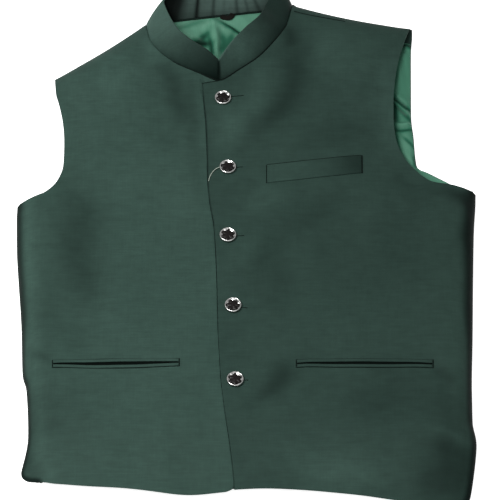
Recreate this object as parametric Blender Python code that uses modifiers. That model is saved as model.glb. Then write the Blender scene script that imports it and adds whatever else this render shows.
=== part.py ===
"""Nehru jacket: a sleeveless stand-collar jacket laid on its back, buttoned, fronts up.

Run with: blender --background --python part.py
The tables below are in millimetres, measured from the front neck point, where the collar
meets the top of the button line. X runs to the viewer's right, Y from hem to collar, Z up
from the surface that the jacket lies on. NECK_POINT places them in the row's frame.
"""
import math

import bmesh
import bpy
import numpy as np
from mathutils import Matrix, Vector
from mathutils.bvhtree import BVHTree

MM = 0.001
NECK_POINT = (-32.25, 229.0)

# Cloth
SHELL_WALL = 2.0
LINING_WALL = 1.0
COLLAR_WALL = 2.4
SEAM_GAP = 0.3
OVERLAP_GAP = 1.2
WELT_WALL = 1.3
WELT_LIFT = 0.45

# How high the fronts stand over the surface
BODY_RISE = 20.0
HEM_RISE = 9.6
EDGE_RISE = 1.0
HEM_FADE = 95.0
SHOULDER_DROP = 6.0
SHOULDER_FADE = 110.0
ARMHOLE_SHARE = 0.72
ARMHOLE_FADE = 45.0
SIDE_ROLL = 36.0
SHOULDER_ROLL = 28.0
ROLL_STEPS = (0.0, 0.7, 2.5, 6.0, 12.0, 22.0, 36.0)
FLAT_COLUMNS = 13
PLACKET_TUCK = dict(before=16.0, ramp=13.0, top_y=12.0, top_fade=20.0)
SHOULDER_STEPS = (0.4, 0.68, 0.86, 0.96, 1.0)

# Viewer's left front: inner edge, outer edge, bow of the row between them, rows to the next
RIGHT_FRONT_ROWS = [
    dict(inner_x=40, inner_y=-583, outer_x=-221, outer_y=-572, bow=-3, steps=1),
    dict(inner_x=40, inner_y=-576, outer_x=-230, outer_y=-566, bow=-3, steps=1),
    dict(inner_x=40, inner_y=-566, outer_x=-233.6, outer_y=-556, bow=-3, steps=2),
    dict(inner_x=39.5, inner_y=-525, outer_x=-227, outer_y=-508, bow=-2, steps=3),
    dict(inner_x=39, inner_y=-440, outer_x=-231.6, outer_y=-439, bow=0, steps=3),
    dict(inner_x=38, inner_y=-350, outer_x=-241, outer_y=-352, bow=0, steps=3),
    dict(inner_x=35, inner_y=-250, outer_x=-248, outer_y=-241, bow=0, steps=2),
    dict(inner_x=32, inner_y=-190, outer_x=-249.5, outer_y=-190, bow=0, steps=1),
    dict(inner_x=31, inner_y=-172, outer_x=-248, outer_y=-176, bow=0, steps=1),
    dict(inner_x=30, inner_y=-150, outer_x=-218, outer_y=-162, bow=0, steps=1),
    dict(inner_x=29, inner_y=-125, outer_x=-200.5, outer_y=-142, bow=0, steps=1),
    dict(inner_x=27, inner_y=-90, outer_x=-194, outer_y=-120, bow=0, steps=1),
    dict(inner_x=25, inner_y=-50, outer_x=-193.4, outer_y=-100, bow=0, steps=2),
    dict(inner_x=22, inner_y=-4, outer_x=-193.6, outer_y=-83, bow=0, steps=1),
    dict(inner_x=-3.5, inner_y=6.5, outer_x=-194.3, outer_y=-70, bow=0, steps=1),
    dict(inner_x=-28.4, inner_y=18.1, outer_x=-196, outer_y=-54, bow=0, steps=1),
    dict(inner_x=-59.2, inner_y=37.3, outer_x=-199, outer_y=-37, bow=0, steps=1),
    dict(inner_x=-77, inner_y=53, outer_x=-202.2, outer_y=-23, bow=-1, steps=1),
    dict(inner_x=-90.4, inner_y=74.5, outer_x=-205.3, outer_y=-11, bow=-3, steps=5),
    dict(inner_x=-95.5, inner_y=104.5, outer_x=-207.8, outer_y=18.7, bow=-3.5, steps=0),
]
RIGHT_PIT_ROW = 8
RIGHT_NECK_ROW = 14

# Viewer's right front: its inner edge is the placket edge, then the neckline
LEFT_FRONT_ROWS = [
    dict(inner_x=18.2, inner_y=-581.6, outer_x=286, outer_y=-613, bow=9, steps=1),
    dict(inner_x=17.9, inner_y=-573, outer_x=294.5, outer_y=-605, bow=8.5, steps=1),
    dict(inner_x=17.0, inner_y=-560, outer_x=299.5, outer_y=-592, bow=8, steps=2),
    dict(inner_x=12.4, inner_y=-521, outer_x=306, outer_y=-535, bow=5, steps=2),
    dict(inner_x=7.5, inner_y=-480, outer_x=301.5, outer_y=-485, bow=2, steps=2),
    dict(inner_x=3.1, inner_y=-435, outer_x=301.8, outer_y=-440, bow=0, steps=2),
    dict(inner_x=-0.9, inner_y=-363, outer_x=304.5, outer_y=-365, bow=0, steps=2),
    dict(inner_x=-3.4, inner_y=-289, outer_x=307, outer_y=-285, bow=0, steps=2),
    dict(inner_x=-6.9, inner_y=-217, outer_x=310, outer_y=-210, bow=0, steps=1),
    dict(inner_x=-13, inner_y=-176, outer_x=313, outer_y=-174, bow=0, steps=1),
    dict(inner_x=-15, inner_y=-150, outer_x=314, outer_y=-159, bow=0, steps=1),
    dict(inner_x=-15.7, inner_y=-121, outer_x=286, outer_y=-148.5, bow=0, steps=1),
    dict(inner_x=-16.6, inner_y=-87, outer_x=262, outer_y=-142.5, bow=0, steps=1),
    dict(inner_x=-18.2, inner_y=-55, outer_x=239.3, outer_y=-125.8, bow=0, steps=1),
    dict(inner_x=-20.5, inner_y=-30, outer_x=224.5, outer_y=-103, bow=0, steps=1),
    dict(inner_x=-23.9, inner_y=-2, outer_x=216.8, outer_y=-76, bow=0, steps=1),
    dict(inner_x=-0.8, inner_y=5.0, outer_x=215, outer_y=-50, bow=0, steps=1),
    dict(inner_x=25.1, inner_y=24.4, outer_x=215.3, outer_y=-22, bow=0, steps=1),
    dict(inner_x=47, inner_y=43, outer_x=217.5, outer_y=7, bow=0, steps=1),
    dict(inner_x=66.6, inner_y=69.5, outer_x=222, outer_y=38, bow=-1, steps=1),
    dict(inner_x=85, inner_y=103, outer_x=229, outer_y=66, bow=-3.5, steps=5),
    dict(inner_x=91, inner_y=134.5, outer_x=238.3, outer_y=98.5, bow=-4, steps=0),
]
LEFT_PIT_ROW = 10
LEFT_CORNER_ROW = 15
LEFT_NECK_ROW = 16

HEM_LINE = [(-224, -571.5), (-100, -582), (-45, -589), (18, -582), (110, -582), (196, -596), (288, -613)]
HEM_DIP = dict(x=-38, half_width=42, depth=6.5, fade=60)

# Soft furrows in the fronts: from, to, half width and depth
FURROW_END = 0.8
FURROWS = [
    dict(x0=-160, y0=-165, x1=-150, y1=-345, half_width=26, depth=2.6),
    dict(x0=-62, y0=30, x1=-74, y1=-70, half_width=20, depth=2.6),
    dict(x0=92, y0=55, x1=88, y1=-25, half_width=20, depth=2.8),
    dict(x0=82, y0=-45, x1=30, y1=-95, half_width=20, depth=2.4),
    dict(x0=176, y0=-45, x1=118, y1=-95, half_width=17, depth=2.2),
    dict(x0=150, y0=-160, x1=72, y1=-228, half_width=18, depth=2.8),
    dict(x0=72, y0=-228, x1=46, y1=-312, half_width=20, depth=2.4),
    dict(x0=226, y0=-155, x1=214, y1=-240, half_width=18, depth=2.4),
    dict(x0=90, y0=-420, x1=46, y1=-470, half_width=13, depth=2.2),
    dict(x0=256, y0=-418, x1=274, y1=-452, half_width=13, depth=2.2),
    dict(x0=215, y0=-530, x1=285, y1=-540, half_width=24, depth=2.6),
]

# Back panel: its free edges, clockwise. The sides and shoulders follow the fronts, a seam away
BACK_ARMHOLE_RIGHT = [(-236, -181), (-214, -166), (-197.5, -143), (-189, -115), (-188, -80), (-192, -45),
                      (-199, 2)]
BACK_NECK_EDGE = [(-86, 101), (-61, 108), (-3, 116.8), (51, 124.2), (82, 127)]
BACK_ARMHOLE_LEFT = [(239.5, 90), (239, 62), (237.6, 23), (236.6, -40), (239, -69), (240.8, -89),
                     (243.4, -106), (247.5, -118), (268.7, -133), (289, -154)]
BACK_HEM = [(285, -590), (196, -578), (110, -566), (18, -566), (-222, -560)]
BACK_WALL = 1.6
BACK_FIRST_ROW = 2
TIP_POINTS = 4
SEAM_REST = 0.6

# Back lining, inside the back panel: four edges between named corners
LINING_LEFT = [(-212, -545), (-224, -430), (-238, -260), (-240, -195), (-208, -160), (-186, -120),
               (-185, -70), (-195, 3)]
LINING_RIGHT = [(280, -560), (293, -440), (300, -280), (302, -172), (268, -133.5), (244.5, -118.5),
                (237.2, -60), (235.6, 20), (237.6, 72)]
LINING_BOTTOM = [(-212, -545), (18, -550), (280, -560)]
LINING_TOP = [(-195, 3), (-140, 46), (-86, 93), (-61, 103.5), (-3, 112.8), (51, 120.3), (84, 122.5),
              (150, 99), (237.6, 72)]
LINING_ROWS = 26
LINING_COLUMNS = 22
LINING_FOLDS = [
    dict(x0=-18, y0=108, x1=22, y1=82, half_width=7, depth=4.5),
    dict(x0=-22, y0=76, x1=-6, y1=50, half_width=6, depth=5.0),
    dict(x0=-48, y0=96, x1=-30, y1=70, half_width=8, depth=3.0),
    dict(x0=214, y0=-8, x1=236, y1=-30, half_width=6, depth=3.0),
    dict(x0=212, y0=-45, x1=236, y1=-44, half_width=5, depth=2.6),
    dict(x0=218, y0=-74, x1=238, y1=-80, half_width=6, depth=2.2),
]

# Collar: where it starts on the neckline, and its top edge
COLLAR_ROWS = [
    dict(base_x=-3.5, base_y=7.5, top_x=-3.8, top_y=12.4, top_z=51),
    dict(base_x=-28.4, base_y=18.1, top_x=-16.8, top_y=29.7, top_z=50),
    dict(base_x=-59.2, base_y=37.3, top_x=-39.8, top_y=52.2, top_z=45),
    dict(base_x=-74.7, base_y=51.1, top_x=-51.5, top_y=67.9, top_z=40),
    dict(base_x=-88.4, base_y=70.5, top_x=-61.5, top_y=89, top_z=33.5),
    dict(base_x=-95.5, base_y=103.2, top_x=-73, top_y=130, top_z=21),
    dict(base_x=-61, base_y=109, top_x=-50, top_y=146, top_z=17),
    dict(base_x=-3, base_y=117.5, top_x=-2, top_y=153, top_z=17),
    dict(base_x=51, base_y=124.7, top_x=41, top_y=155, top_z=17),
    dict(base_x=90.9, base_y=131.5, top_x=73, top_y=150.5, top_z=27),
    dict(base_x=84.5, base_y=101.4, top_x=56.7, top_y=116, top_z=30),
    dict(base_x=73.7, base_y=81.4, top_x=51, top_y=96.9, top_z=38),
    dict(base_x=53.9, base_y=49.1, top_x=30.8, top_y=68.1, top_z=46),
    dict(base_x=25.1, base_y=24.4, top_x=11.8, top_y=39.1, top_z=50),
    dict(base_x=-0.8, base_y=5.5, top_x=-1.6, top_y=12.0, top_z=51),
]
COLLAR_INSET = 0.6
COLLAR_SINK = 1.0
COLLAR_BACK_SEAT = 1.95
COLLAR_BULGE = 1.6
COLLAR_LEVELS = 5
COLLAR_STEPS = 44
BACK_NECK = [(-95.1, 106.0), (-80, 106.0), (-61, 109), (-30, 113.8), (-3, 117.5), (25, 121.2), (51, 124.7),
             (72, 128.8), (89.8, 135.0)]

# Pockets and chest welt: ends of each line and width of each strip
CHEST_WELT = dict(x0=57.6, y0=-137.0, x1=174.0, y1=-122.5, width=26.5)
POCKETS = {
    "pocket_right": dict(x0=-199.5, y0=-412.0, x1=-49.0, y1=-409.5),
    "pocket_left": dict(x0=93.0, y0=-411.6, x1=255.5, y1=-412.4),
}
JET_WIDTH = 4.2
JET_OFFSET = 2.9
JET_BOW = 0.9
JET_LANES = 2
WELT_LANES = 3
STRIP_PIECES = 16

# Buttons on the button line
BUTTONS = [(3.0, -22.9), (9.1, -127.2), (9.6, -229.2), (16.1, -331.2), (18.7, -437.8)]
BUTTON_RADIUS = 10.3
BUTTON_PROFILE = [(0.0, 2.3), (7.6, 2.3), (8.1, 3.6), (9.0, 4.0), (9.8, 3.6), (BUTTON_RADIUS, 2.5),
                  (10.1, 1.5), (8.6, 0.9), (3.0, 0.9), (3.0, 0.0), (0.0, 0.0)]
BUTTON_SIDES = 24
BUTTON_SPAN = 8.2
SHANK_RADIUS = 3.0
SHANK_SAMPLES = 12
FACE_RADIUS = 6.7
FACE_CHAMFER = 0.4
FACE_LOBE = 0.75
FACE_PETALS = 6
FACE_POINTS = 6
FACE_WALL = 1.1

LOOP_ROUTE = [(1.5, 115.2, 5.8), (4.0, 111.0, 7.0), (8.2, 109.0, 7.4), (12.6, 111.0, 7.2),
              (15.8, 116.8, 5.8)]
LOOP_RADIUS = 1.3
LOOP_STEPS = 11
MERGE_M = 0.00005
SKY = 200.0

COLOURS = {
    "shell": ((0.046, 0.082, 0.070), 0.82, 0.0),
    "collar": ((0.040, 0.070, 0.060), 0.82, 0.0),
    "lining": ((0.085, 0.270, 0.160), 0.42, 0.0),
    "metal": ((0.72, 0.72, 0.70), 0.25, 1.0),
    "enamel": ((0.012, 0.010, 0.010), 0.22, 0.0),
}


def clear_scene():
    for old in list(bpy.data.objects):
        bpy.data.objects.remove(old, do_unlink=True)


def make_material(name):
    colour, roughness, metallic = COLOURS[name]
    material = bpy.data.materials.new(name)
    material.use_nodes = True
    shader = material.node_tree.nodes["Principled BSDF"]
    shader.inputs["Base Color"].default_value = (*colour, 1.0)
    shader.inputs["Roughness"].default_value = roughness
    shader.inputs["Metallic"].default_value = metallic
    return material


def to_frame(points):
    """Table millimetres to the row's metres."""
    moved = np.asarray(points, dtype=float).copy()
    moved[..., 0] += NECK_POINT[0]
    moved[..., 1] += NECK_POINT[1]
    return moved * MM


def smooth(value):
    """A soft step from 0 to 1."""
    value = np.clip(value, 0.0, 1.0)
    return value * value * (3.0 - 2.0 * value)


def roll(distance, radius):
    """A quarter of an ellipse: 0 at the edge, 1 from radius inwards."""
    share = np.clip(distance / radius, 0.0, 1.0)
    return np.sqrt(1.0 - (1.0 - share) ** 2)


def monotone(knots, values, at):
    """Smooth curve through values at knots that never overshoots between two of them."""
    knots = np.asarray(knots, dtype=float)
    values = np.asarray(values, dtype=float)
    at = np.asarray(at, dtype=float)
    gaps = np.diff(knots)
    rises = np.diff(values) / gaps
    slopes = np.empty_like(values)
    slopes[0] = rises[0]
    slopes[-1] = rises[-1]
    same_way = rises[:-1] * rises[1:] > 0
    harmonic = 2 * rises[:-1] * rises[1:] / np.where(same_way, rises[:-1] + rises[1:], 1.0)
    slopes[1:-1] = np.where(same_way, harmonic, 0.0)
    cell = np.clip(np.searchsorted(knots, at, side="right") - 1, 0, len(gaps) - 1)
    t = (at - knots[cell]) / gaps[cell]
    h00 = 2 * t ** 3 - 3 * t ** 2 + 1
    h10 = t ** 3 - 2 * t ** 2 + t
    h01 = 3 * t ** 2 - 2 * t ** 3
    h11 = t ** 3 - t ** 2
    return (h00 * values[cell] + h10 * gaps[cell] * slopes[cell]
            + h01 * values[cell + 1] + h11 * gaps[cell] * slopes[cell + 1])


def along(points, shares):
    """Points at shares of the length of a polyline."""
    points = np.asarray(points, dtype=float)
    steps = np.linalg.norm(np.diff(points, axis=0), axis=1)
    reach = np.concatenate([[0.0], np.cumsum(steps)])
    at = np.asarray(shares) * reach[-1]
    return np.stack([np.interp(at, reach, points[:, k]) for k in range(points.shape[1])], axis=-1)


def furrow_depth(x, y, furrows):
    """Sum of the soft furrows at x, y: each is a valley along a line with faded ends."""
    depth = np.zeros_like(x)
    for furrow in furrows:
        run = np.array([furrow["x1"] - furrow["x0"], furrow["y1"] - furrow["y0"]])
        length = np.hypot(*run)
        run = run / length
        ahead = (x - furrow["x0"]) * run[0] + (y - furrow["y0"]) * run[1]
        aside = -(x - furrow["x0"]) * run[1] + (y - furrow["y0"]) * run[0]
        beyond = np.maximum(np.maximum(-ahead, ahead - length), 0.0)
        reach = np.hypot(aside, beyond * FURROW_END) / furrow["half_width"]
        depth = depth + furrow["depth"] * np.exp(-reach ** 2)
    return depth


def body_height(x, y):
    """Height of the fronts' outer surface, away from the side folds and the shoulders."""
    hem = np.interp(x, [p[0] for p in HEM_LINE], [p[1] for p in HEM_LINE])
    height = HEM_RISE + (BODY_RISE - HEM_RISE) * smooth((y - hem) / HEM_FADE)
    height = height - SHOULDER_DROP * smooth(y / SHOULDER_FADE)
    return height - furrow_depth(x, y, FURROWS)


def front_rows(table):
    """Inner and outer ends and bow of every row of a front."""
    knots = np.arange(len(table))
    at = []
    for index, row in enumerate(table[:-2]):
        at += [index + step / row["steps"] for step in range(row["steps"])]
    last = len(table) - 2
    at += [last] + [last + share for share in SHOULDER_STEPS]
    at = np.array(at)
    ends = {key: monotone(knots, [row[key] for row in table], at)
            for key in ("inner_x", "inner_y", "outer_x", "outer_y", "bow")}
    return at, ends


def distance_to(line, x, y):
    """Distance of points x, y to a polyline."""
    nearest = np.full(np.shape(x), np.inf)
    for start, end in zip(line[:-1], line[1:]):
        run = end - start
        share = ((x - start[0]) * run[0] + (y - start[1]) * run[1]) / max(run @ run, 1e-9)
        share = np.clip(share, 0.0, 1.0)
        away = np.hypot(x - start[0] - share * run[0], y - start[1] - share * run[1])
        nearest = np.minimum(nearest, away)
    return nearest


def front_grid(table, pit_row):
    """Outer surface of a front as rows of points from its inner edge to its outer edge."""
    at, ends = front_rows(table)
    width = np.hypot(ends["outer_x"] - ends["inner_x"], ends["outer_y"] - ends["inner_y"])
    rows = []
    for index, span in enumerate(width):
        middle = np.linspace(span, ROLL_STEPS[-1], FLAT_COLUMNS + 1)[:-1]
        from_outer = np.concatenate([middle, ROLL_STEPS[::-1]])
        share = 1.0 - from_outer / span
        x = ends["inner_x"][index] + share * (ends["outer_x"][index] - ends["inner_x"][index])
        y = ends["inner_y"][index] + share * (ends["outer_y"][index] - ends["inner_y"][index])
        y = y + ends["bow"][index] * 4 * share * (1 - share)
        y = y - hem_dip(x, y)
        rows.append(np.stack([x, y], axis=-1))
    flat = np.array(rows)
    side = flat[at <= pit_row, -1]
    armhole = flat[at >= pit_row, -1]
    shoulder = flat[-1]
    x = flat[..., 0]
    y = flat[..., 1]
    share = roll(distance_to(side, x, y), SIDE_ROLL) * roll(distance_to(shoulder, x, y), SHOULDER_ROLL)
    share = share * (ARMHOLE_SHARE + (1 - ARMHOLE_SHARE) * smooth(distance_to(armhole, x, y) / ARMHOLE_FADE))
    height = EDGE_RISE + (body_height(x, y) - EDGE_RISE) * share
    return np.dstack([flat, height])


def hem_dip(x, y):
    """The hem hangs a little lower beside the button line."""
    hem = np.interp(x, [p[0] for p in HEM_LINE], [p[1] for p in HEM_LINE])
    near_hem = 1.0 - smooth((y - hem) / HEM_DIP["fade"])
    return HEM_DIP["depth"] * np.exp(-((x - HEM_DIP["x"]) / HEM_DIP["half_width"]) ** 2) * near_hem


def tuck_under(grid):
    """Lower the front that lies underneath, from just before the placket edge."""
    edge_y = [row["inner_y"] for row in LEFT_FRONT_ROWS[:LEFT_CORNER_ROW + 1]]
    edge_x = [row["inner_x"] for row in LEFT_FRONT_ROWS[:LEFT_CORNER_ROW + 1]]
    placket_x = np.interp(grid[..., 1], edge_y, edge_x)
    lowered = grid.copy()
    drop = SHELL_WALL + OVERLAP_GAP
    below_corner = 1.0 - smooth((grid[..., 1] - PLACKET_TUCK["top_y"]) / PLACKET_TUCK["top_fade"])
    past_edge = smooth((grid[..., 0] - placket_x + PLACKET_TUCK["before"]) / PLACKET_TUCK["ramp"])
    lowered[..., 2] -= drop * past_edge * below_corner
    return lowered


def link(obj, material):
    obj.data.materials.append(material)
    bpy.data.collections["nehru_jacket"].objects.link(obj)
    return obj


def grid_mesh(name, grid):
    """A sheet of quads over a grid of points, facing up or outwards."""
    rows, columns = grid.shape[:2]
    points = to_frame(grid).reshape(-1, 3)
    faces = []
    for row in range(rows - 1):
        for column in range(columns - 1):
            first = row * columns + column
            faces.append((first, first + 1, first + columns + 1, first + columns))
    mesh = bpy.data.meshes.new(name)
    mesh.from_pydata([tuple(p) for p in points], [], faces)
    mesh.update()
    return mesh


def sheet(name, grid, wall, material, flip=False):
    """A wall of cloth: the grid is its outer side, the wall lies behind it."""
    if flip:
        grid = grid[:, ::-1]
    mesh = grid_mesh(name, grid)
    mesh.shade_smooth()
    obj = bpy.data.objects.new(name, mesh)
    link(obj, material)
    solid = obj.modifiers.new("wall", "SOLIDIFY")
    solid.thickness = wall * MM
    solid.offset = -1.0
    return obj


def surface_tree(grid):
    """A search tree over a front's faces, in table millimetres."""
    rows, columns = grid.shape[:2]
    points = [Vector(p) for p in grid.reshape(-1, 3)]
    faces = []
    for row in range(rows - 1):
        for column in range(columns - 1):
            first = row * columns + column
            faces.append((first, first + 1, first + columns + 1))
            faces.append((first, first + columns + 1, first + columns))
    return BVHTree.FromPolygons(points, faces)


def height_on(tree, x, y):
    """Height of a front's faces at x, y."""
    hit = tree.ray_cast(Vector((x, y, SKY)), Vector((0.0, 0.0, -1.0)))
    return hit[0].z


def strip(name, tree, line, width, lanes, material, offset=0.0, bow=0.0, upright=False):
    """A flat strip of cloth that lies on a front, made from that front's own heights."""
    start = np.array([line["x0"], line["y0"]])
    end = np.array([line["x1"], line["y1"]])
    run = (end - start) / np.linalg.norm(end - start)
    side = np.array([0.0, 1.0]) if upright else np.array([-run[1], run[0]])
    rows = []
    for share in np.linspace(0.0, 1.0, STRIP_PIECES + 1):
        middle = start + share * (end - start) + side * (offset + bow * 4 * share * (1 - share))
        row = []
        for lane in np.linspace(-0.5, 0.5, lanes + 1):
            x, y = middle + side * lane * width
            row.append((x, y, height_on(tree, x, y) + WELT_LIFT + WELT_WALL))
        rows.append(row)
    return sheet(name, np.array(rows), WELT_WALL, material, flip=True)


def inset(line):
    """A clockwise stretch of the fronts' outline, moved in by the wall and the seam gap."""
    tangent = np.gradient(line, axis=0)
    tangent /= np.linalg.norm(tangent, axis=1)[:, None]
    inward = np.stack([tangent[:, 1], -tangent[:, 0]], axis=-1)
    return line + inward * (SHELL_WALL + SEAM_REST)


def back_outline(right_grid, left_grid):
    """The back's cut: up the viewer's left side, over the shoulders and down the right side."""
    right_rows = front_rows(RIGHT_FRONT_ROWS)[0]
    left_rows = front_rows(LEFT_FRONT_ROWS)[0]
    right_side = right_grid[(right_rows >= BACK_FIRST_ROW) & (right_rows < RIGHT_PIT_ROW), -1, :2]
    left_side = left_grid[(left_rows >= BACK_FIRST_ROW) & (left_rows < LEFT_PIT_ROW), -1, :2]
    return np.vstack([inset(right_side), BACK_ARMHOLE_RIGHT, inset(right_grid[-1, ::-1, :2])[TIP_POINTS:-1],
                      BACK_NECK_EDGE, inset(left_grid[-1, :, :2])[1:-TIP_POINTS], BACK_ARMHOLE_LEFT,
                      inset(left_side[::-1]), BACK_HEM])


def back_panel(outline, material):
    """The back lies flat: a filled outline of its cut."""
    curve = bpy.data.curves.new("back_panel", "CURVE")
    curve.dimensions = "2D"
    curve.fill_mode = "BOTH"
    curve.extrude = BACK_WALL * MM / 2
    line = curve.splines.new("POLY")
    line.points.add(len(outline) - 1)
    for point, place in zip(line.points, outline):
        x, y, z = to_frame((*place, 0.0))
        point.co = (x, y, z, 1.0)
    line.use_cyclic_u = True
    obj = bpy.data.objects.new("back_panel", curve)
    obj.location.z = BACK_WALL * MM / 2
    return link(obj, material)


def back_lining(material):
    """The lining follows the back panel and puffs up in satin folds where it shows."""
    across = np.linspace(0.0, 1.0, LINING_COLUMNS + 1)
    upward = np.linspace(0.0, 1.0, LINING_ROWS + 1)
    left = along(LINING_LEFT, upward)
    right = along(LINING_RIGHT, upward)
    bottom = along(LINING_BOTTOM, across)
    top = along(LINING_TOP, across)
    u = across[None, :, None]
    v = upward[:, None, None]
    corners = ((1 - u) * (1 - v) * bottom[0] + u * (1 - v) * bottom[-1]
               + (1 - u) * v * top[0] + u * v * top[-1])
    flat = (1 - v) * bottom[None] + v * top[None] + (1 - u) * left[:, None] + u * right[:, None] - corners
    base = BACK_WALL + SEAM_GAP + LINING_WALL
    height = base + furrow_depth(flat[..., 0], flat[..., 1], LINING_FOLDS)
    return sheet("back_lining", np.dstack([flat, height]), LINING_WALL, material)


def neck_ring(right_grid, left_grid):
    """The neckline from the viewer's left end of the collar round the back to its right end."""
    right_start = row_index(RIGHT_FRONT_ROWS, RIGHT_NECK_ROW)
    left_start = row_index(LEFT_FRONT_ROWS, LEFT_NECK_ROW)
    right_edge = right_grid[right_start:, 0]
    left_edge = left_grid[left_start:, 0][::-1]
    back = np.array([(x, y, COLLAR_BACK_SEAT + COLLAR_SINK) for x, y in BACK_NECK])
    return np.vstack([right_edge, back, left_edge])


def row_index(table, row):
    """Which row of a front's grid a row of its table became."""
    at = front_rows(table)[0]
    return int(np.argmin(np.abs(at - row)))


def collar(ring, material):
    """A band from the neckline to its top edge, a little rounded outwards."""
    steps = np.linalg.norm(np.diff(ring[:, :2], axis=0), axis=1)
    reach = np.concatenate([[0.0], np.cumsum(steps)])
    knots = []
    for row in COLLAR_ROWS:
        distance = np.hypot(ring[:, 0] - row["base_x"], ring[:, 1] - row["base_y"])
        knots.append(reach[int(np.argmin(distance))])
    knots[0] = 0.0
    knots[-1] = reach[-1]
    at = np.linspace(0.0, reach[-1], COLLAR_STEPS + 1)
    base = np.stack([np.interp(at, reach, ring[:, k]) for k in range(3)], axis=-1)
    top = np.stack([monotone(knots, [row[key] for row in COLLAR_ROWS], at)
                    for key in ("top_x", "top_y", "top_z")], axis=-1)
    tangent = np.gradient(base[:, :2], axis=0)
    tangent /= np.linalg.norm(tangent, axis=1)[:, None]
    inward = np.stack([tangent[:, 1], -tangent[:, 0]], axis=-1)
    base[:, :2] += inward * COLLAR_INSET
    base[:, 2] = np.maximum(base[:, 2] - COLLAR_SINK, COLLAR_BACK_SEAT)
    rows = []
    for level in np.linspace(0.0, 1.0, COLLAR_LEVELS + 1):
        line = base * (1 - level) + top * level
        line[:, :2] -= inward * COLLAR_BULGE * 4 * level * (1 - level)
        rows.append(line)
    return sheet("collar", np.array(rows), COLLAR_WALL, material, flip=True)


def turned(name, profile, sides, material):
    """A profile of radius and height turned round its own Z axis."""
    mesh = bpy.data.meshes.new(name)
    points = [(radius * MM, 0.0, height * MM) for radius, height in profile]
    mesh.from_pydata(points, [(i, i + 1) for i in range(len(points) - 1)], [])
    obj = bpy.data.objects.new(name, mesh)
    link(obj, material)
    screw = obj.modifiers.new("turn", "SCREW")
    screw.steps = sides
    screw.render_steps = sides
    screw.use_merge_vertices = True
    screw.merge_threshold = MERGE_M
    screw.use_normal_calculate = True
    return obj


def petal_face(name, material):
    """A flat flower that fills the button's pan."""
    mesh = bpy.data.meshes.new(name)
    shape = bmesh.new()
    bmesh.ops.create_cone(shape, cap_ends=True, segments=FACE_POINTS * FACE_PETALS, radius1=FACE_RADIUS * MM,
                          radius2=(FACE_RADIUS - FACE_CHAMFER) * MM, depth=FACE_WALL * MM)
    for vert in shape.verts:
        angle = math.atan2(vert.co.y, vert.co.x)
        swell = 1.0 + FACE_LOBE / FACE_RADIUS * math.cos(FACE_PETALS * angle)
        vert.co.x *= swell
        vert.co.y *= swell
    shape.to_mesh(mesh)
    shape.free()
    return link(bpy.data.objects.new(name, mesh), material)


def button(number, place, tree, metal, enamel):
    """A button on its shank, square to the cloth under it."""
    x, y = place
    slope_x = (height_on(tree, x + BUTTON_SPAN, y) - height_on(tree, x - BUTTON_SPAN, y)) / (2 * BUTTON_SPAN)
    slope_y = (height_on(tree, x, y + BUTTON_SPAN) - height_on(tree, x, y - BUTTON_SPAN)) / (2 * BUTTON_SPAN)
    normal = Vector((-slope_x, -slope_y, 1.0)).normalized()
    centre = Vector((x, y, height_on(tree, x, y)))
    clear = 0.0
    for angle in np.linspace(0.0, 2 * math.pi, SHANK_SAMPLES, endpoint=False):
        px = x + SHANK_RADIUS * math.cos(angle)
        py = y + SHANK_RADIUS * math.sin(angle)
        clear = max(clear, (Vector((px, py, height_on(tree, px, py))) - centre).dot(normal))
    seat = centre + normal * (clear + SEAM_GAP)
    turn = Vector((0.0, 0.0, 1.0)).rotation_difference(normal).to_matrix().to_4x4()
    body = turned(f"button_{number}", BUTTON_PROFILE, BUTTON_SIDES, metal)
    face = petal_face(f"button_face_{number}", enamel)
    body.matrix_world = Matrix.Translation(Vector(to_frame(tuple(seat)))) @ turn
    lift = BUTTON_PROFILE[0][1] + SEAM_GAP + FACE_WALL / 2
    face.matrix_world = Matrix.Translation(Vector(to_frame(tuple(seat + normal * lift)))) @ turn


def hanger_loop(material):
    """A short cord loop sewn into the back neck seam."""
    curve = bpy.data.curves.new("hanger_loop", "CURVE")
    curve.dimensions = "3D"
    curve.bevel_depth = LOOP_RADIUS * MM
    curve.bevel_resolution = 2
    curve.use_fill_caps = True
    knots = np.arange(len(LOOP_ROUTE))
    at = np.linspace(0, len(LOOP_ROUTE) - 1, LOOP_STEPS)
    route = np.stack([monotone(knots, [p[k] for p in LOOP_ROUTE], at) for k in range(3)], axis=-1)
    line = curve.splines.new("POLY")
    line.points.add(len(route) - 1)
    for point, place in zip(line.points, to_frame(route)):
        point.co = (*place, 1.0)
    return link(bpy.data.objects.new("hanger_loop", curve), material)


def main():
    clear_scene()
    collection = bpy.data.collections.new("nehru_jacket")
    bpy.context.scene.collection.children.link(collection)
    shell = make_material("shell")
    collar_cloth = make_material("collar")
    lining = make_material("lining")
    metal = make_material("metal")
    enamel = make_material("enamel")

    right_grid = tuck_under(front_grid(RIGHT_FRONT_ROWS, RIGHT_PIT_ROW))
    left_grid = front_grid(LEFT_FRONT_ROWS, LEFT_PIT_ROW)
    right_tree = surface_tree(right_grid)
    left_tree = surface_tree(left_grid)

    back_panel(back_outline(right_grid, left_grid), shell)
    back_lining(lining)
    sheet("front_right", right_grid, SHELL_WALL, shell, flip=True)
    sheet("front_left", left_grid, SHELL_WALL, shell)
    collar(neck_ring(right_grid, left_grid), collar_cloth)
    hanger_loop(collar_cloth)
    strip("chest_welt", left_tree, CHEST_WELT, CHEST_WELT["width"], WELT_LANES, shell, upright=True)
    for name, tree in (("pocket_right", right_tree), ("pocket_left", left_tree)):
        line = POCKETS[name]
        strip(name + "_upper", tree, line, JET_WIDTH, JET_LANES, shell, JET_OFFSET, JET_BOW)
        strip(name + "_lower", tree, line, JET_WIDTH, JET_LANES, shell, -JET_OFFSET, -JET_BOW)
    for number, place in enumerate(BUTTONS, start=1):
        button(number, place, left_tree, metal, enamel)


main()
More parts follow.
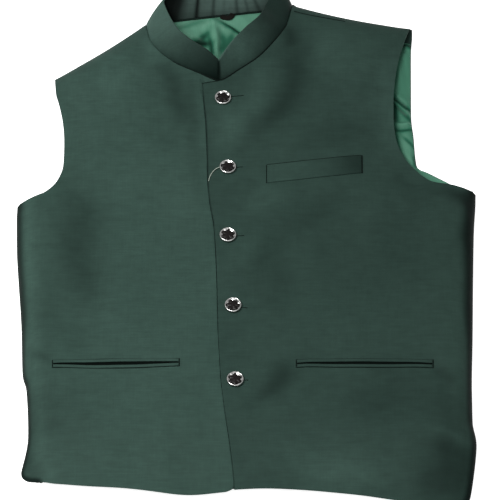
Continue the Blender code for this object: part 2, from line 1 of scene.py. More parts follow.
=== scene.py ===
"""Looks of the laid nehru jacket: its cloth, satin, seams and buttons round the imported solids."""

import math

import bmesh
import bpy
import numpy as np
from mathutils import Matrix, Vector
from mathutils.bvhtree import BVHTree


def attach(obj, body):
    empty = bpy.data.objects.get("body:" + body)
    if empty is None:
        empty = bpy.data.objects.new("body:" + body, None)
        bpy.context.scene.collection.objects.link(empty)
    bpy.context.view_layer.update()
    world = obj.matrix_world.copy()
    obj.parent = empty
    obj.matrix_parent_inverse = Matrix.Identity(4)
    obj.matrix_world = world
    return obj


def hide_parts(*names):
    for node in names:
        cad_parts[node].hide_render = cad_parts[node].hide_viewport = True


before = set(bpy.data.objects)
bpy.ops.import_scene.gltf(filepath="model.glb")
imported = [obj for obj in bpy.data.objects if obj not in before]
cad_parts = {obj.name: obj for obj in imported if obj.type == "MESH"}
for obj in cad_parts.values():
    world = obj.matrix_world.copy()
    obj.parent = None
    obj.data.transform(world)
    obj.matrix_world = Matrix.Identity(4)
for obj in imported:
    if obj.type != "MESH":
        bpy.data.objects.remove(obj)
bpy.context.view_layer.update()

MM = 0.001
NECK_POINT = (-32.25, 229.0)

# Camera: where it looks, in metres, its distance, height above the horizon and lens
TARGET = (0.00435, -0.0174, 0.015)
DISTANCE = 5.9282
ELEVATION = math.radians(56.0)
LENS = 350.0
SENSOR = 36.0

# Cloth, in millimetres
SHELL_WALL = 2.0
LINING_WALL = 1.0
COLLAR_WALL = 2.4
BACK_WALL = 1.6
SEAM_GAP = 0.3
OVERLAP_GAP = 1.2
WELT_WALL = 1.3
WELT_LIFT = 0.45
EDGE_ROUND = 0.55

# How high the fronts stand over the surface
BODY_RISE = 20.0
HEM_RISE = 9.6
EDGE_RISE = 1.0
HEM_FADE = 95.0
SHOULDER_DROP = 6.0
SHOULDER_FADE = 110.0
ARMHOLE_SHARE = 0.72
ARMHOLE_FADE = 45.0
SIDE_ROLL = 36.0
SHOULDER_ROLL = 28.0
ROW_STEP = 3.4
COLUMN_STEP = 3.3
SIDE_COLUMNS = 15
RIGHT_CLOSE_COLUMNS = [1.0 * step for step in range(76)]
LEFT_CLOSE_COLUMNS = (0.0, 0.9, 2.0)
HEM_TURN = dict(reach=5.5, drop=2.4, calm=25.0)
PLACKET_TUCK = dict(before=0.8, ramp=1.1, top_y=6.0, top_fade=14.0)
UNDERLAP_LIFT = dict(rise=6.5, before=12.0, over=20.0)
CALM = dict(side=14.0, shoulder=12.0)

# Viewer's left front: inner end, outer end and bow of each row
RIGHT_FRONT_ROWS = [
    (40, -583, -214, -572, -5), (40, -576, -228.5, -567.5, -4), (40, -566, -235, -557.5, -3),
    (39.5, -525, -228, -508, -2), (39, -440, -231.8, -441, 0), (38.7, -420, -236.6, -421, 0),
    (38, -350, -240, -352, 0), (35, -250, -248.4, -241, 0), (32, -190, -250, -190, 0),
    (31, -172, -249.6, -174.5, 0), (30, -150, -218, -162, 0), (29, -125, -200.5, -142, 0),
    (27, -90, -194, -120, 0), (25, -50, -193.4, -100, 0), (22, -4, -193.6, -83, 0),
    (-3.5, 6.5, -194.3, -70, 0),
    (-28.4, 18.1, -196, -54, 0), (-59.2, 37.3, -199, -37, 0), (-77, 53, -202.2, -23, -1),
    (-90.4, 74.5, -205.3, -11, -3), (-95.5, 104.5, -207.8, 18.7, -3.5),
]
RIGHT_PIT_ROW = 9
RIGHT_NECK_ROW = 15

# Viewer's right front: its inner end is the placket edge, then the neckline
LEFT_FRONT_ROWS = [
    (18.2, -581.6, 282, -613.6, 9), (17.9, -573, 291, -605.6, 8.5), (17.0, -560, 296.8, -592, 8),
    (12.4, -521, 306.4, -518, 5), (6.8, -480, 302.5, -485, 2), (2.0, -435, 302.8, -440, 0),
    (-1.6, -363, 305.6, -365, 0), (-3.4, -289, 308.2, -285, 0), (-6.9, -217, 311.2, -210, 0),
    (-13, -176, 314, -172, 0), (-15, -150, 314.6, -156, 0), (-15.7, -121, 286, -149, 0),
    (-16.6, -87, 262, -144.5, 0), (-18.2, -55, 239.3, -125.8, 0), (-20.5, -30, 224.5, -103, 0),
    (-23.4, 1.5, 216.8, -76, 0), (-0.8, 5.0, 215, -50, 0), (25.1, 24.4, 215.3, -22, 0),
    (47, 43, 217.5, 7, 0), (66.6, 69.5, 222, 38, -1), (85, 103, 229, 66, -3.5),
    (91, 134.5, 238.3, 98.5, -4),
]
LEFT_PIT_ROW = 10
LEFT_CORNER_ROW = 15
LEFT_NECK_ROW = 16

HEM_LINE = [
    (-224, -571.5), (-100, -582), (-45, -589), (18, -582), (110, -582), (196, -596), (288, -613),
]
HEM_DIP = dict(x=-38, half_width=42, depth=6.5, fade=60)
HEM_CORNER = dict(x=-214, y=-572, radius=10, lift=2.4)

# Main furrows, as in the solids: line, half width, depth
FURROWS = [
    ([(-160, -165), (-150, -345)], 26, 2.6), ([(-62, 30), (-74, -70)], 20, 2.6),
    ([(92, 55), (88, -25)], 20, 2.8), ([(82, -45), (30, -95)], 20, 2.4),
    ([(176, -45), (118, -95)], 17, 2.2), ([(150, -160), (72, -228)], 18, 2.8),
    ([(72, -228), (46, -312)], 20, 2.4), ([(226, -155), (214, -240)], 18, 2.4),
    ([(90, -420), (46, -470)], 13, 2.2), ([(256, -418), (274, -452)], 13, 2.2),
    ([(215, -530), (285, -540)], 24, 2.6),
]
# Finer creases of the cloth: a negative depth is a ridge
CREASES = [
    ([(255, -413), (265, -429), (276, -446)], 4.5, 1.0),
    ([(246, -404), (262, -396), (280, -392)], 6.0, 0.7),
    ([(93, -414), (76, -437), (60, -458), (44, -468)], 5.5, 0.9),
    ([(84, -404), (62, -398), (48, -404)], 6.0, 0.6),
    ([(215, -492), (262, -505), (306, -520)], 9.0, -1.1),
    ([(120, -480), (170, -470), (215, -478)], 16.0, 0.9),
    ([(-205, -405), (-222, -398), (-234, -390)], 8.0, 0.5),
    ([(-203, -418), (-218, -430), (-228, -440)], 7.0, 0.7),
    ([(-229, -520), (-205, -505), (-180, -500)], 9.0, 1.1), ([(-226, -556), (-208, -535)], 12.0, 0.4),
    ([(-44, -408), (-28, -402), (-12, -404)], 7.0, 0.6),
    ([(-228, -186), (-190, -215), (-170, -262)], 14.0, 1.4),
    ([(-200, -150), (-168, -172), (-150, -205)], 10.0, 1.0),
    ([(-187, -80), (-150, -90), (-118, -84)], 13.0, 0.7),
    ([(-150, -345), (-165, -385), (-160, -400)], 18.0, 1.2),
    ([(-40, -20), (-58, -60), (-66, -110)], 12.0, 1.2),
    ([(-120, 30), (-112, -20), (-128, -60)], 18.0, -1.0),
    ([(-95, -120), (-92, -200), (-104, -290)], 22.0, -0.9),
    ([(-212, -230), (-216, -320), (-206, -390)], 11.0, -0.9),
    ([(-60, -480), (-52, -530), (-44, -585)], 12.0, 0.8),
    ([(18, -470), (24, -520), (30, -575)], 9.0, 0.8),
    ([(60, -330), (64, -380), (56, -420)], 16.0, -0.8),
    ([(120, -230), (112, -300), (122, -370)], 24.0, -0.9),
    ([(178, -200), (172, -290), (184, -380)], 22.0, 0.7),
    ([(256, -190), (262, -280), (254, -380)], 13.0, -0.8),
    ([(285, -180), (288, -260), (284, -360)], 8.0, 0.9),
    ([(214, -130), (236, -150), (262, -158)], 8.0, 1.0),
    ([(150, 60), (158, 10), (150, -40)], 22.0, -1.0), ([(204, 60), (196, 20), (198, -30)], 10.0, 0.9),
    ([(196, -70), (184, -100), (186, -130)], 10.0, 0.7), ([(14, -60), (34, -72), (52, -70)], 9.0, 0.6),
    ([(26, -150), (46, -148), (64, -158)], 8.0, 0.5), ([(24, -236), (40, -246), (48, -268)], 7.0, 0.5),
    ([(0, -24), (-12, -26)], 5.0, 0.4), ([(28, -345), (44, -352), (60, -350)], 7.0, 0.5),
    ([(30, -447), (44, -456)], 7.0, 0.5), ([(100, 92), (112, 70), (108, 44)], 12.0, 1.2),
    ([(-108, 62), (-102, 40), (-92, 22)], 11.0, 0.9),
]
# Slow waves of the cloth: wavelength along X and Y, turn, height
WAVES = [
    (170.0, 260.0, 0.4, 0.45), (95.0, 210.0, 2.1, 0.25), (240.0, 120.0, 4.0, 0.35),
    (58.0, 150.0, 1.3, 0.12),
]

# The back: its free edges, and the lining inside it
BACK_LEFT = [
    (-219.5, -560), (-224.4, -508), (-229, -439), (-236, -352), (-245.4, -241), (-246.8, -190),
    (-236, -181), (-214, -166), (-197.5, -143), (-189, -115), (-188, -80), (-192, -45), (-199, 2),
    (-202.5, 14),
]
BACK_RIGHT = [
    (288.5, -590), (302, -540), (298.8, -485), (299.2, -440), (301.9, -365), (304.4, -285),
    (307.4, -210), (306, -176), (300, -154.5), (286, -141), (269.5, -130.3), (253.3, -120.7),
    (248, -118.5), (243, -113), (241.2, -97), (239.8, -69), (237.4, -40), (238.2, 23), (239, 62),
    (241, 90), (241, 98),
]
BACK_BOTTOM = [(-219.5, -560), (18, -566), (110, -566), (196, -578), (288.5, -590)]
BACK_TOP = [
    (-202.5, 14), (-170, 42.5), (-140, 65.4), (-120, 81.8), (-108, 92), (-97.5, 101.6), (-91, 106.4),
    (-61, 112.6), (-3, 121), (51, 128), (82, 133), (91, 137.5), (100, 129.5), (160, 113.5), (241, 98),
]
LINING_LEFT = [
    (-212, -545), (-224, -430), (-238, -260), (-240, -195), (-208, -160), (-186, -120), (-185, -70),
    (-195, 3),
]
LINING_RIGHT = [
    (280, -560), (293, -440), (300, -280), (300, -174), (284.8, -142.4), (268.8, -131.5),
    (252.6, -121.8), (247.4, -119.4), (242.3, -113.6), (240.5, -97), (239.1, -69), (236.8, -40),
    (237.6, 22), (238.4, 62), (238.8, 74),
]
LINING_BOTTOM = [(-212, -545), (18, -550), (280, -560)]
LINING_TOP = [
    (-195, 3), (-166, 34), (-140, 54.5), (-116, 74), (-88, 98), (-61, 107.8), (-30, 112.7), (-3, 116.4),
    (25, 120.2), (51, 123.6), (84, 126), (150, 101), (238.8, 74),
]
LINING_FOLDS = [
    ([(-54, 91), (-42, 101), (-28, 108), (-15, 110.5), (-4, 107.5), (8, 99), (21, 88)], 5.0, -3.4),
    ([(-2, 113), (6, 106.5), (16, 98.5), (28, 86)], 2.2, 2.0),
    ([(-10, 106), (-6, 84), (-4.5, 50)], 4.4, -3.4), ([(-30, 80), (-22, 72), (-14, 67)], 4.5, 2.8),
    ([(-24, 96), (-19, 86), (-15, 76)], 4.5, 1.8), ([(2, 96), (3, 80), (1, 64)], 4.6, 2.2),
    ([(-44, 92), (-34, 86), (-26, 84)], 4.0, -1.6), ([(-58, 102), (-44, 105), (-30, 109)], 2.6, 1.4),
    ([(12, 92), (16, 84), (12, 76)], 3.6, -1.2), ([(24, 116), (32, 109), (38, 101)], 5.0, -1.2),
    ([(-9, 84), (-10, 70), (-8, 58)], 2.0, 1.0), ([(224, 72), (232, 70), (240, 69)], 3.4, -1.6),
    ([(222, 64), (232, 63), (240, 61)], 3.0, 1.8),
    ([(211, -6), (221.3, -14.7), (227.4, -22.4), (238, -29)], 2.4, 2.2),
    ([(212, -15), (220, -22.5), (228, -31), (237, -38)], 2.8, -2.4),
    ([(213, -26), (218, -38), (224, -46)], 5.0, 1.8), ([(210, 0), (222, -7), (234, -18)], 3.4, -1.6),
    ([(212, -50), (226, -51), (240, -51)], 3.0, -2.2), ([(212, -57), (226, -58), (240, -57)], 2.2, 1.6),
    ([(214, -66), (226, -66), (236, -63)], 4.0, -1.0), ([(224, -66), (232, -75), (240, -82)], 2.4, 1.6),
    ([(220, -84), (228, -96), (238, -108)], 5.0, -1.2), ([(219, 44), (224, 20), (219, 4)], 5.0, -1.4),
    ([(230, 46), (233, 20), (234, -2)], 3.0, 0.9), ([(244, -121), (262, -132), (284, -148)], 3.0, 0.9),
    ([(-190, -60), (-176, -72), (-160, -76)], 5.0, -1.4),
    ([(-192, -30), (-176, -36), (-164, -48)], 5.0, 1.2),
    ([(-150, -200), (-60, -230), (40, -220)], 20.0, -1.2),
    ([(-180, -380), (-60, -400), (80, -390)], 22.0, -1.0),
    ([(60, -100), (120, -160), (200, -180)], 18.0, -1.2),
]
LINING_COLUMN_STEP = 2.2
LINING_ROWS_LOW = 34
LINING_ROWS_HIGH = 118
LINING_HIGH_FROM = 0.62
LINING_SIZE = 520
LINING_RISE = dict(rest=1.6, edge=4.0)
LINING_WANDER = 0.25
EDGE_SAMPLES = 40
BACK_STEP = 5.0
BACK_SIZE = (550, 680)
BACK_FOLD_SHARE = 0.3
# Painted shade, the same all over the back panel
BACK_SHADE = 0.6
BACK_FOLDS = [
    ([(-190, -150), (-80, -190), (60, -170)], 16.0, 0.55),
    ([(210, -150), (120, -210), (20, -230)], 18.0, 0.5),
    ([(-210, -330), (-120, -360), (-40, -350)], 14.0, 0.5),
    ([(240, -380), (150, -400), (60, -420)], 15.0, 0.55),
    ([(-60, 60), (-70, -20), (-50, -90)], 14.0, 0.45), ([(90, 70), (100, 0), (84, -60)], 16.0, 0.45),
    ([(-150, -470), (-40, -500), (90, -490)], 17.0, 0.5),
    ([(180, -30), (150, -70), (140, -110)], 12.0, 0.5),
]

# Collar: where each place on the neckline meets its top edge
COLLAR_ROWS = [
    (-3.5, 7.5, -3.0, 12.4, 51), (-28.4, 18.1, -16.8, 29.7, 50), (-59.2, 37.3, -39.8, 52.2, 45),
    (-74.7, 51.1, -51.5, 67.9, 40), (-88.4, 70.5, -61.5, 89, 33.5), (-95.5, 103.2, -73, 130, 21),
    (-61, 109, -50, 146, 17), (-3, 117.5, -2, 153, 17), (51, 124.7, 41, 155, 17),
    (90.9, 131.5, 73, 150.5, 27), (84.5, 101.4, 56.7, 116, 30), (73.7, 81.4, 51, 96.9, 38),
    (53.9, 49.1, 30.8, 68.1, 46), (25.1, 24.4, 11.8, 39.1, 50), (-0.8, 5.5, -2.2, 12.0, 51),
]
BACK_NECK = [
    (-95.1, 106.0), (-80, 108.2), (-61, 111.8), (-30, 116.6), (-3, 120.2), (25, 123.9), (51, 127.2),
    (72, 130.8), (89.8, 135.0),
]
COLLAR_INSET = 0.6
END_CLOSE = dict(shift=0.95, fade=12.0)
COLLAR_SINK = 1.0
COLLAR_BACK_SEAT = 1.95
COLLAR_BULGE = 1.6
COLLAR_BACK_FROM = 107.0
LINING_SEAM_HEIGHT = 3.2
COLLAR_BACK_BEGINS = dict(y=92.0, over=14.0)
WRINKLE_KEPT = 0.25
WRINKLE_LEAN = dict(share=5.0, level=0.4)
# Painted shade at the collar's foot, and more of it at the end that lies at the centre front
FOOT_SHADE = dict(dark=0.5, bright_at=0.28, fade=0.12)
END_SHADE = dict(dark=0.8, width=0.035)
COLLAR_STEPS = 260
COLLAR_LEVELS = 18
TURN_WINDOW = 9
# Soft upright wrinkles of the collar's back: X of each, half width, depth
COLLAR_WRINKLES = [
    (-66, 4.5, 0.9), (-52, 3.0, -0.5), (-31, 3.0, 1.2), (-11, 2.4, 0.7), (-2, 4.0, -0.6),
    (22, 2.4, 0.7), (34, 3.6, 0.8), (44, 3.0, -0.6), (50, 3.0, 0.7), (68, 5.0, 0.7),
]
# Painted shade in stripes along the wrinkles inside: X of each, half width, darkness, lean
INSIDE_STRIPE_SHADE = [
    (-60.0, 5.0, 0.5, 2.0), (-32.0, 3.2, 0.95, -1.5), (-10.0, 2.4, 0.6, 0.5), (21.0, 2.4, 0.55, 1.0),
    (33.0, 2.0, 0.4, -3.0), (45.5, 2.6, 0.5, -6.0), (4.0, 2.0, 0.2, 2.0),
]

# The dark seams at the collar's foot: thickness, and where the two in front end
COLLAR_SEAMS = dict(back=0.62, right=0.75, right_fades=(1.3, 0.5), left=0.8)
SEAM_SHIFT = (0.0, -0.55, 1.15)
SEAM_MIDDLE_X = -1.5
SEAM_RIGHT_END = (-62, 60)
SEAM_LEFT_TOP = 100

# Pockets and chest welt
CHEST_WELT = dict(x0=57.6, y0=-137.0, x1=174.0, y1=-122.5, width=26.5)
POCKETS = {
    "pocket_right": dict(x0=-199.5, y0=-415.2, x1=-49.0, y1=-412.4, gape=1.1),
    "pocket_left": dict(x0=93.0, y0=-413.4, x1=255.5, y1=-413.6, gape=0.2),
}
JET_WIDTH = 4.2
JET_OFFSET = 2.9
JET_BOW = 0.9
JET_LANES = 9
JET_ROUND = 0.85
JET_SEAM = dict(gap=0.25, radius=0.4)
TACK = dict(gap=0.9, reach=5.4, radius=0.55)
# The near-black strip in each pocket mouth, painted shade of the slit: width in jet offsets, lanes,
# lift, taper, wall
POCKET_SLIT_SHADE = dict(width=2.2, lanes=4, lift=0.42, taper=0.5, wall=0.3)
WELT_SEAM = dict(gap=0.6, start=0.5, end=0.8)
# A dark line along the chest welt's open top, painted shadow of the opening: gap, radius
WELT_MOUTH_SHADOW = dict(gap=0.5, radius=0.65)
WELT_LANES = 14
WELT_ROUND = 0.25
SIDES = (("upper", 1), ("lower", -1))
STRIP_PIECES = 70

# Buttons
BUTTONS = [
    (3.0, -22.9, 0.2), (9.1, -127.2, 0.75), (9.6, -229.2, 0.4), (16.1, -331.2, 1.0),
    (18.7, -437.8, 0.55),
]
BUTTON_SPAN = 8.2
SHANK_RADIUS = 3.0
SHANK_SAMPLES = 12
RIM_PROFILE = [
    (0.0, 2.35), (5.0, 2.35), (7.7, 2.5), (8.35, 3.0), (8.75, 3.55), (9.05, 3.9), (9.4, 4.0),
    (9.8, 3.8), (10.15, 3.2), (10.3, 2.5), (10.05, 1.6), (9.3, 1.0), (8.4, 0.8), (3.2, 0.8), (2.8, 0.0),
    (0.0, 0.0),
]
RIM_INNER = (2, 6)
RIM_LOBE = 1.15
RIM_SEGMENTS = 96
FACE_RADIUS = 7.2
FACE_LOBE = 0.95
FACE_PETALS = 6
FACE_RINGS = 10
FACE_HEIGHT = 1.0
FACE_DOME = 0.35
FACE_GROOVE = dict(depth=0.3, begins=0.2, over=0.5)
FACE_EDGE = dict(drop=0.35, begins=0.85, over=0.15)

BUTTONHOLES = [
    (0.5, -21.6, 28.5, -17.8), (11.0, -126.8, 27.5, -125.6), (11.2, -230.0, 29.5, -228.6),
    (18.0, -331.4, 33.5, -334.0), (20.5, -437.6, 34.5, -437.4),
]
HOLE_RADIUS = 0.42
SHOULDER_SEAM_RADIUS = 0.5
LINE_SPOTS = 30
# How deep a line of thread lies in the cloth
LINE_SINK = 0.2
SHALLOW_SINK = 0.1
PLACKET_TOP = [(-23.0, 0.7), (-12.0, 3.0), (-2.4, 4.6)]
SHOULDER_SEAM = [(92.1, 118.8), (106.0, 114.0), (124.8, 109.3), (156.3, 103.0)]
THREAD = [
    (0.4, -127.4, 2.6), (-5.0, -130.2, 2.2), (-9.2, -134.4, 1.5), (-12.6, -141.3, 1.0),
    (-14.4, -148.0, 0.6),
]
THREAD_RADIUS = 0.42
THREAD_STEPS = 33

LOOP_ROUTE = [
    (0.0, 116.0, 5.2), (4.6, 113.2, 6.2), (9.0, 112.3, 6.8), (12.6, 114.4, 6.7), (15.0, 119.8, 5.4),
]
LOOP_HALF_WIDTH = 3.4
LOOP_HALF_WALL = 0.55
LOOP_STEPS = 41
LOOP_SEGMENTS = 16
LOOP_SQUARENESS = 0.6

# Painted shade near the side folds, in millimetres, and how much: darker all over by base, darker still
# towards the rim, and a painted lighter strip beside it
SIDE_SHADE = {
    "right": dict(base=0.17, rim=2.0, fade=9.5, strength=0.88, strip=0.18, place=15.0, width=8.0,
                  narrow=0.8),
    "left": dict(base=0.4, rim=4.0, fade=13.0, strength=0.985, strip=0.12, place=21.0, width=8.0,
                 narrow=0.7),
}
# Lower down the painted dark rim is narrower
RIM_NARROW = dict(from_y=-330.0, fade=80.0)
# How much painted shade each millimetre of a crease's depth adds
CREASE_SHADE = 0.06
END_KEPT = 0.2
END_SHARE = 0.35
# Painted shade on the fronts, where the cloth is drawn darker, and painted light where the share is
# negative: line, half width, share
FRONT_PAINTED_SHADE = [
    ([(-184, -132), (-171, -219), (-172, -266), (-166, -307), (-176, -356)], 33.0, 0.42),
    ([(-212, -290), (-205, -380)], 20.0, 0.14),
    ([(-72, 44), (-57, 1), (-53, -37), (-44, -70)], 15.0, 0.42),
    ([(-28, -60), (-26, -190)], 12.0, 0.14), ([(-150, 66), (-126, 23), (-144, -25)], 24.0, -0.28),
    ([(-108, 76), (-82, 47), (-66, 26)], 12.0, -0.22),
    ([(-196, -50), (-192, -110), (-176, -134)], 18.0, -0.15),
    ([(-200, -420), (-170, -480), (-190, -550)], 30.0, 0.13),
    ([(88, 96), (99, 23), (90, -15), (64, -48), (24, -92)], 16.0, 0.42),
    ([(82, 98), (84, 76), (80, 58)], 9.0, 0.45), ([(1.8, -22), (14, -70), (6, -118)], 18.0, -0.42),
    ([(22, -66), (50, -12), (58, 45)], 16.0, -0.36), ([(-34, 26), (-37, -50), (-30, -110)], 8.0, 0.22),
    ([(105, 92), (162, 38), (212, 36)], 34.0, -0.3),
    ([(206, 66), (208, -22), (212, -112)], 18.0, -0.34),
    ([(24, -206), (55, -168), (92, -186)], 16.0, -0.24),
    ([(14, -276), (51, -232), (84, -206)], 16.0, -0.34), ([(100, -84), (190, -62)], 19.0, 0.16),
    ([(80, -262), (280, -262)], 66.0, 0.16), ([(170, -150), (57, -235), (38, -330)], 22.0, 0.2),
    ([(226, -135), (242, -240)], 14.0, 0.16), ([(96, -408), (70, -437), (40, -474)], 14.0, 0.4),
    ([(256, -412), (284, -440)], 8.0, 0.34), ([(70, -256), (73, -300), (58, -350)], 20.0, 0.2),
    ([(235, -430), (282, -480), (276, -570)], 32.0, 0.3),
    ([(160, -400), (215, -440), (225, -500)], 26.0, 0.14), ([(140, -470), (226, -470)], 30.0, 0.18),
    ([(215, -574), (312, -578)], 34.0, 0.42), ([(66, -552), (150, -562), (215, -562)], 26.0, -0.36),
    ([(258, -156), (297, -163), (306, -180), (307, -275)], 12.0, 0.8),
    ([(250, -522), (280, -532), (309, -536)], 9.0, 0.25),
    ([(248, -548), (292, -552), (306, -560)], 28.0, 0.36),
    ([(240, -495), (280, -512), (309, -522)], 6.0, -0.3),
    ([(-232, -470), (-233, -530), (-229, -552), (-205, -572)], 13.0, 0.55),
    ([(-216, -430), (-206, -530)], 24.0, 0.2), ([(-225, -394), (-213, -404), (-199, -414)], 8.0, 0.25),
    ([(-234, -450), (-233, -500)], 5.0, 0.4),
]
# Beside the placket: how dark its edge is painted, and how dark and wide its painted shadow on the front
# underneath is
PLACKET_EDGE = dict(high=0.6, low=0.0, from_y=-260.0, rise=130.0, reach=1.1, top_y=6.0, top_fade=3.0)
PLACKET_SHADOW = dict(dark=0.05, reach=2.5, top_y=-2.0, top_fade=6.0)
# Painted shade on the lining, in its lines and hollows and beside the front's armhole edge, and painted
# light where the share is negative
LINING_PAINTED_SHADE = [
    ([(-120, 60), (-10, 95), (100, 140)], 60.0, 0.07),
    ([(-10, 110), (1.3, 105.0), (10.1, 98.8), (17.0, 92.8), (34, 80), (50, 68)], 2.9, 0.97),
    ([(-60, 90), (-39, 101), (-26.5, 106.6), (-10, 110)], 2.8, 0.34),
    ([(-42, 78), (-32, 75), (-23.8, 75.5), (-10, 76)], 4.6, 0.98),
    ([(-38, 76), (-25, 76), (-16, 75)], 4.0, 0.8),
    ([(-38, 72), (-25, 82), (-20, 89), (-15, 98)], 4.6, 0.72),
    ([(-17, 92), (-12.4, 71), (-10.2, 46)], 2.6, 0.85), ([(-2, 98), (3.4, 78), (0, 54)], 4.6, 0.56),
    ([(15, 95), (10.5, 77), (3, 58)], 5.4, 0.56), ([(228, 190), (226, 0), (250, -230)], 32.0, 0.34),
    ([(226, -60), (232, -100), (248, -128)], 8.0, -0.3),
    ([(202, 0), (214, -10), (223.7, -18.5), (234, -28), (246, -39)], 2.2, 0.92),
    ([(206, -8), (213, -14.5), (222, -23.5), (233, -35), (242, -44)], 1.8, -0.25),
    ([(202, -8), (213.5, -18.5), (223.5, -30.7), (236, -45), (246, -55)], 2.1, 0.7),
    ([(212, -14), (213.5, -30), (215.5, -54)], 5.4, 0.88),
    ([(204, -52), (214.5, -51), (225.6, -51.5), (246, -48)], 1.8, -0.3),
    ([(202, -58), (216, -60), (224, -61), (248, -57)], 2.6, 0.65),
    ([(224, -66), (231.4, -75), (246, -94)], 2.0, 0.55),
    ([(200, 68), (222, 68.5), (240, 70), (262, 71)], 3.4, 0.95),
    ([(227, 92), (220.5, 42), (215.5, 10), (213.6, -26), (214.6, -59), (223, -97), (250, -142)],
     2.8, 0.5),
    ([(215, -84), (226, -106)], 4.0, 0.2), ([(240, -96), (243, -120)], 2.6, 0.65),
]
# Painted shade of the collar's outer side, by share of its length from end to end
COLLAR_PAINTED_SHADE = [
    (0.0, 0.97), (0.006, 0.88), (0.05, 0.8), (0.12, 0.62), (0.2, 0.25), (0.27, 0.0), (0.33, 0.05),
    (0.36, 0.42), (0.64, 0.64), (0.72, 0.78), (0.78, 0.745), (0.86, 0.38), (0.92, 0.03), (0.992, 0.08),
    (1.0, 0.97),
]
# Painted shade of the collar's inner side, by X
INSIDE_PAINTED_SHADE = [
    (-96, 1.0), (-66, 0.99), (-56, 0.9), (-44, 0.42), (-30, 0.3), (-14, 0.15), (2, 0.0), (30, 0.0),
    (48, 0.2), (70, 0.65), (92, 0.75),
]
# Painted shade of the chest welt, by share of its length
WELT_PAINTED_SHADE = [(0.0, 0.38), (0.1, 0.34), (0.4, 0.38), (0.62, 0.46), (0.8, 0.6), (0.93, 0.7), (1.0, 0.74)]

# Height from which the cloth is looked for, above all of it
SKY = 200.0
THREAD_RANGE = (0.52, 1.03)
# Scale of a wave texture whose bands lie one unit apart
WAVE_SCALE = 0.314
# Points of a turned form that lie closer than this are one point, in metres
WELD = 0.000005

# Floor, in metres, and lights: place, size, power and tint
FLOOR_SIZE = 12.0
FLOOR_DROP = 0.0004
LIGHTS = {
    "key": ((-0.75, -0.3, 1.7), 0.9, 42.0, (1.0, 1.0, 0.99)),
    "fill": ((0.6, -1.6, 1.9), 1.6, 10.0, (1.0, 1.0, 1.0)),
}
SKY_LIGHT = 0.4


def to_frame(points):
    """Table millimetres to the row's metres."""
    moved = np.asarray(points, dtype=float).copy()
    moved[..., 0] += NECK_POINT[0]
    moved[..., 1] += NECK_POINT[1]
    return moved * MM


def smooth(value):
    value = np.clip(value, 0.0, 1.0)
    return value * value * (3.0 - 2.0 * value)


def roll(distance, radius):
    share = np.clip(distance / radius, 0.0, 1.0)
    return np.sqrt(1.0 - (1.0 - share) ** 2)


def bell(away, width):
    return np.exp(-(away / width) ** 2)


def reach_along(points):
    """How far each point lies from the first one, along the line."""
    steps = np.linalg.norm(np.diff(points, axis=0), axis=1)
    return np.concatenate([[0.0], np.cumsum(steps)])


def monotone(knots, values, at):
    """Smooth curve through values at knots that never overshoots between two of them."""
    knots = np.asarray(knots, dtype=float)
    values = np.asarray(values, dtype=float)
    at = np.asarray(at, dtype=float)
    gaps = np.diff(knots)
    rises = np.diff(values) / gaps
    slopes = np.empty_like(values)
    slopes[0] = rises[0]
    slopes[-1] = rises[-1]
    same_way = rises[:-1] * rises[1:] > 0
    harmonic = 2 * rises[:-1] * rises[1:] / np.where(same_way, rises[:-1] + rises[1:], 1.0)
    slopes[1:-1] = np.where(same_way, harmonic, 0.0)
    cell = np.clip(np.searchsorted(knots, at, side="right") - 1, 0, len(gaps) - 1)
    t = (at - knots[cell]) / gaps[cell]
    h00 = 2 * t ** 3 - 3 * t ** 2 + 1
    h10 = t ** 3 - 2 * t ** 2 + t
    h01 = 3 * t ** 2 - 2 * t ** 3
    h11 = t ** 3 - t ** 2
    return (h00 * values[cell] + h10 * gaps[cell] * slopes[cell]
            + h01 * values[cell + 1] + h11 * gaps[cell] * slopes[cell + 1])


def along(points, shares):
    """Points at shares of the length of a line, smoothed through its points."""
    points = np.asarray(points, dtype=float)
    reach = reach_along(points)
    at = np.asarray(shares) * reach[-1]
    return np.stack([monotone(reach, points[:, k], at) for k in range(points.shape[1])], axis=-1)


def through(table, count):
    """Places spread evenly over the rows of a table, on smooth curves through its columns."""
    at = np.linspace(0, len(table) - 1, count)
    knots = np.arange(len(table))
    return np.stack([monotone(knots, column, at) for column in zip(*table)], axis=-1)


def nearest_on(line, x, y):
    """Distance of points x, y to a polyline, and the share of its length where they are nearest."""
    line = np.asarray(line, dtype=float)
    runs = np.diff(line, axis=0)
    lengths = np.maximum(np.linalg.norm(runs, axis=1), 1e-6)
    before = np.concatenate([[0.0], np.cumsum(lengths)])
    nearest = np.full(np.shape(x), np.inf)
    place = np.zeros(np.shape(x))
    for start, run, length, reach in zip(line, runs, lengths, before):
        share = ((x - start[0]) * run[0] + (y - start[1]) * run[1]) / length ** 2
        share = np.clip(share, 0.0, 1.0)
        away = np.hypot(x - start[0] - share * run[0], y - start[1] - share * run[1])
        closer = away < nearest
        nearest = np.where(closer, away, nearest)
        place = np.where(closer, (reach + share * length) / before[-1], place)
    return nearest, place


def distance_to(line, x, y):
    return nearest_on(line, x, y)[0]


def wander(x, y, share=1.0):
    """Places shifted a little, so that what follows a line isn't quite straight or even."""
    across = x + share * (2.6 * np.sin(y / 21.0 + 0.7) + 1.3 * np.sin(y / 8.3 + x / 31.0))
    upward = y + share * (2.6 * np.sin(x / 24.0 + 2.1) + 1.3 * np.sin(x / 9.1 - y / 27.0))
    return across, upward


def soft_line(line, half_width, x, y):
    """How much a soft line is felt at x, y: all on it, less beside it and towards its ends."""
    away, share = nearest_on(line, x, y)
    ends = END_KEPT + (1 - END_KEPT) * smooth(share / END_SHARE) * smooth((1.0 - share) / END_SHARE)
    return bell(away, half_width) * ends


def crease_depth(x, y, creases):
    x, y = wander(x, y)
    return sum(deep * soft_line(line, half_width, x, y) for line, half_width, deep in creases)


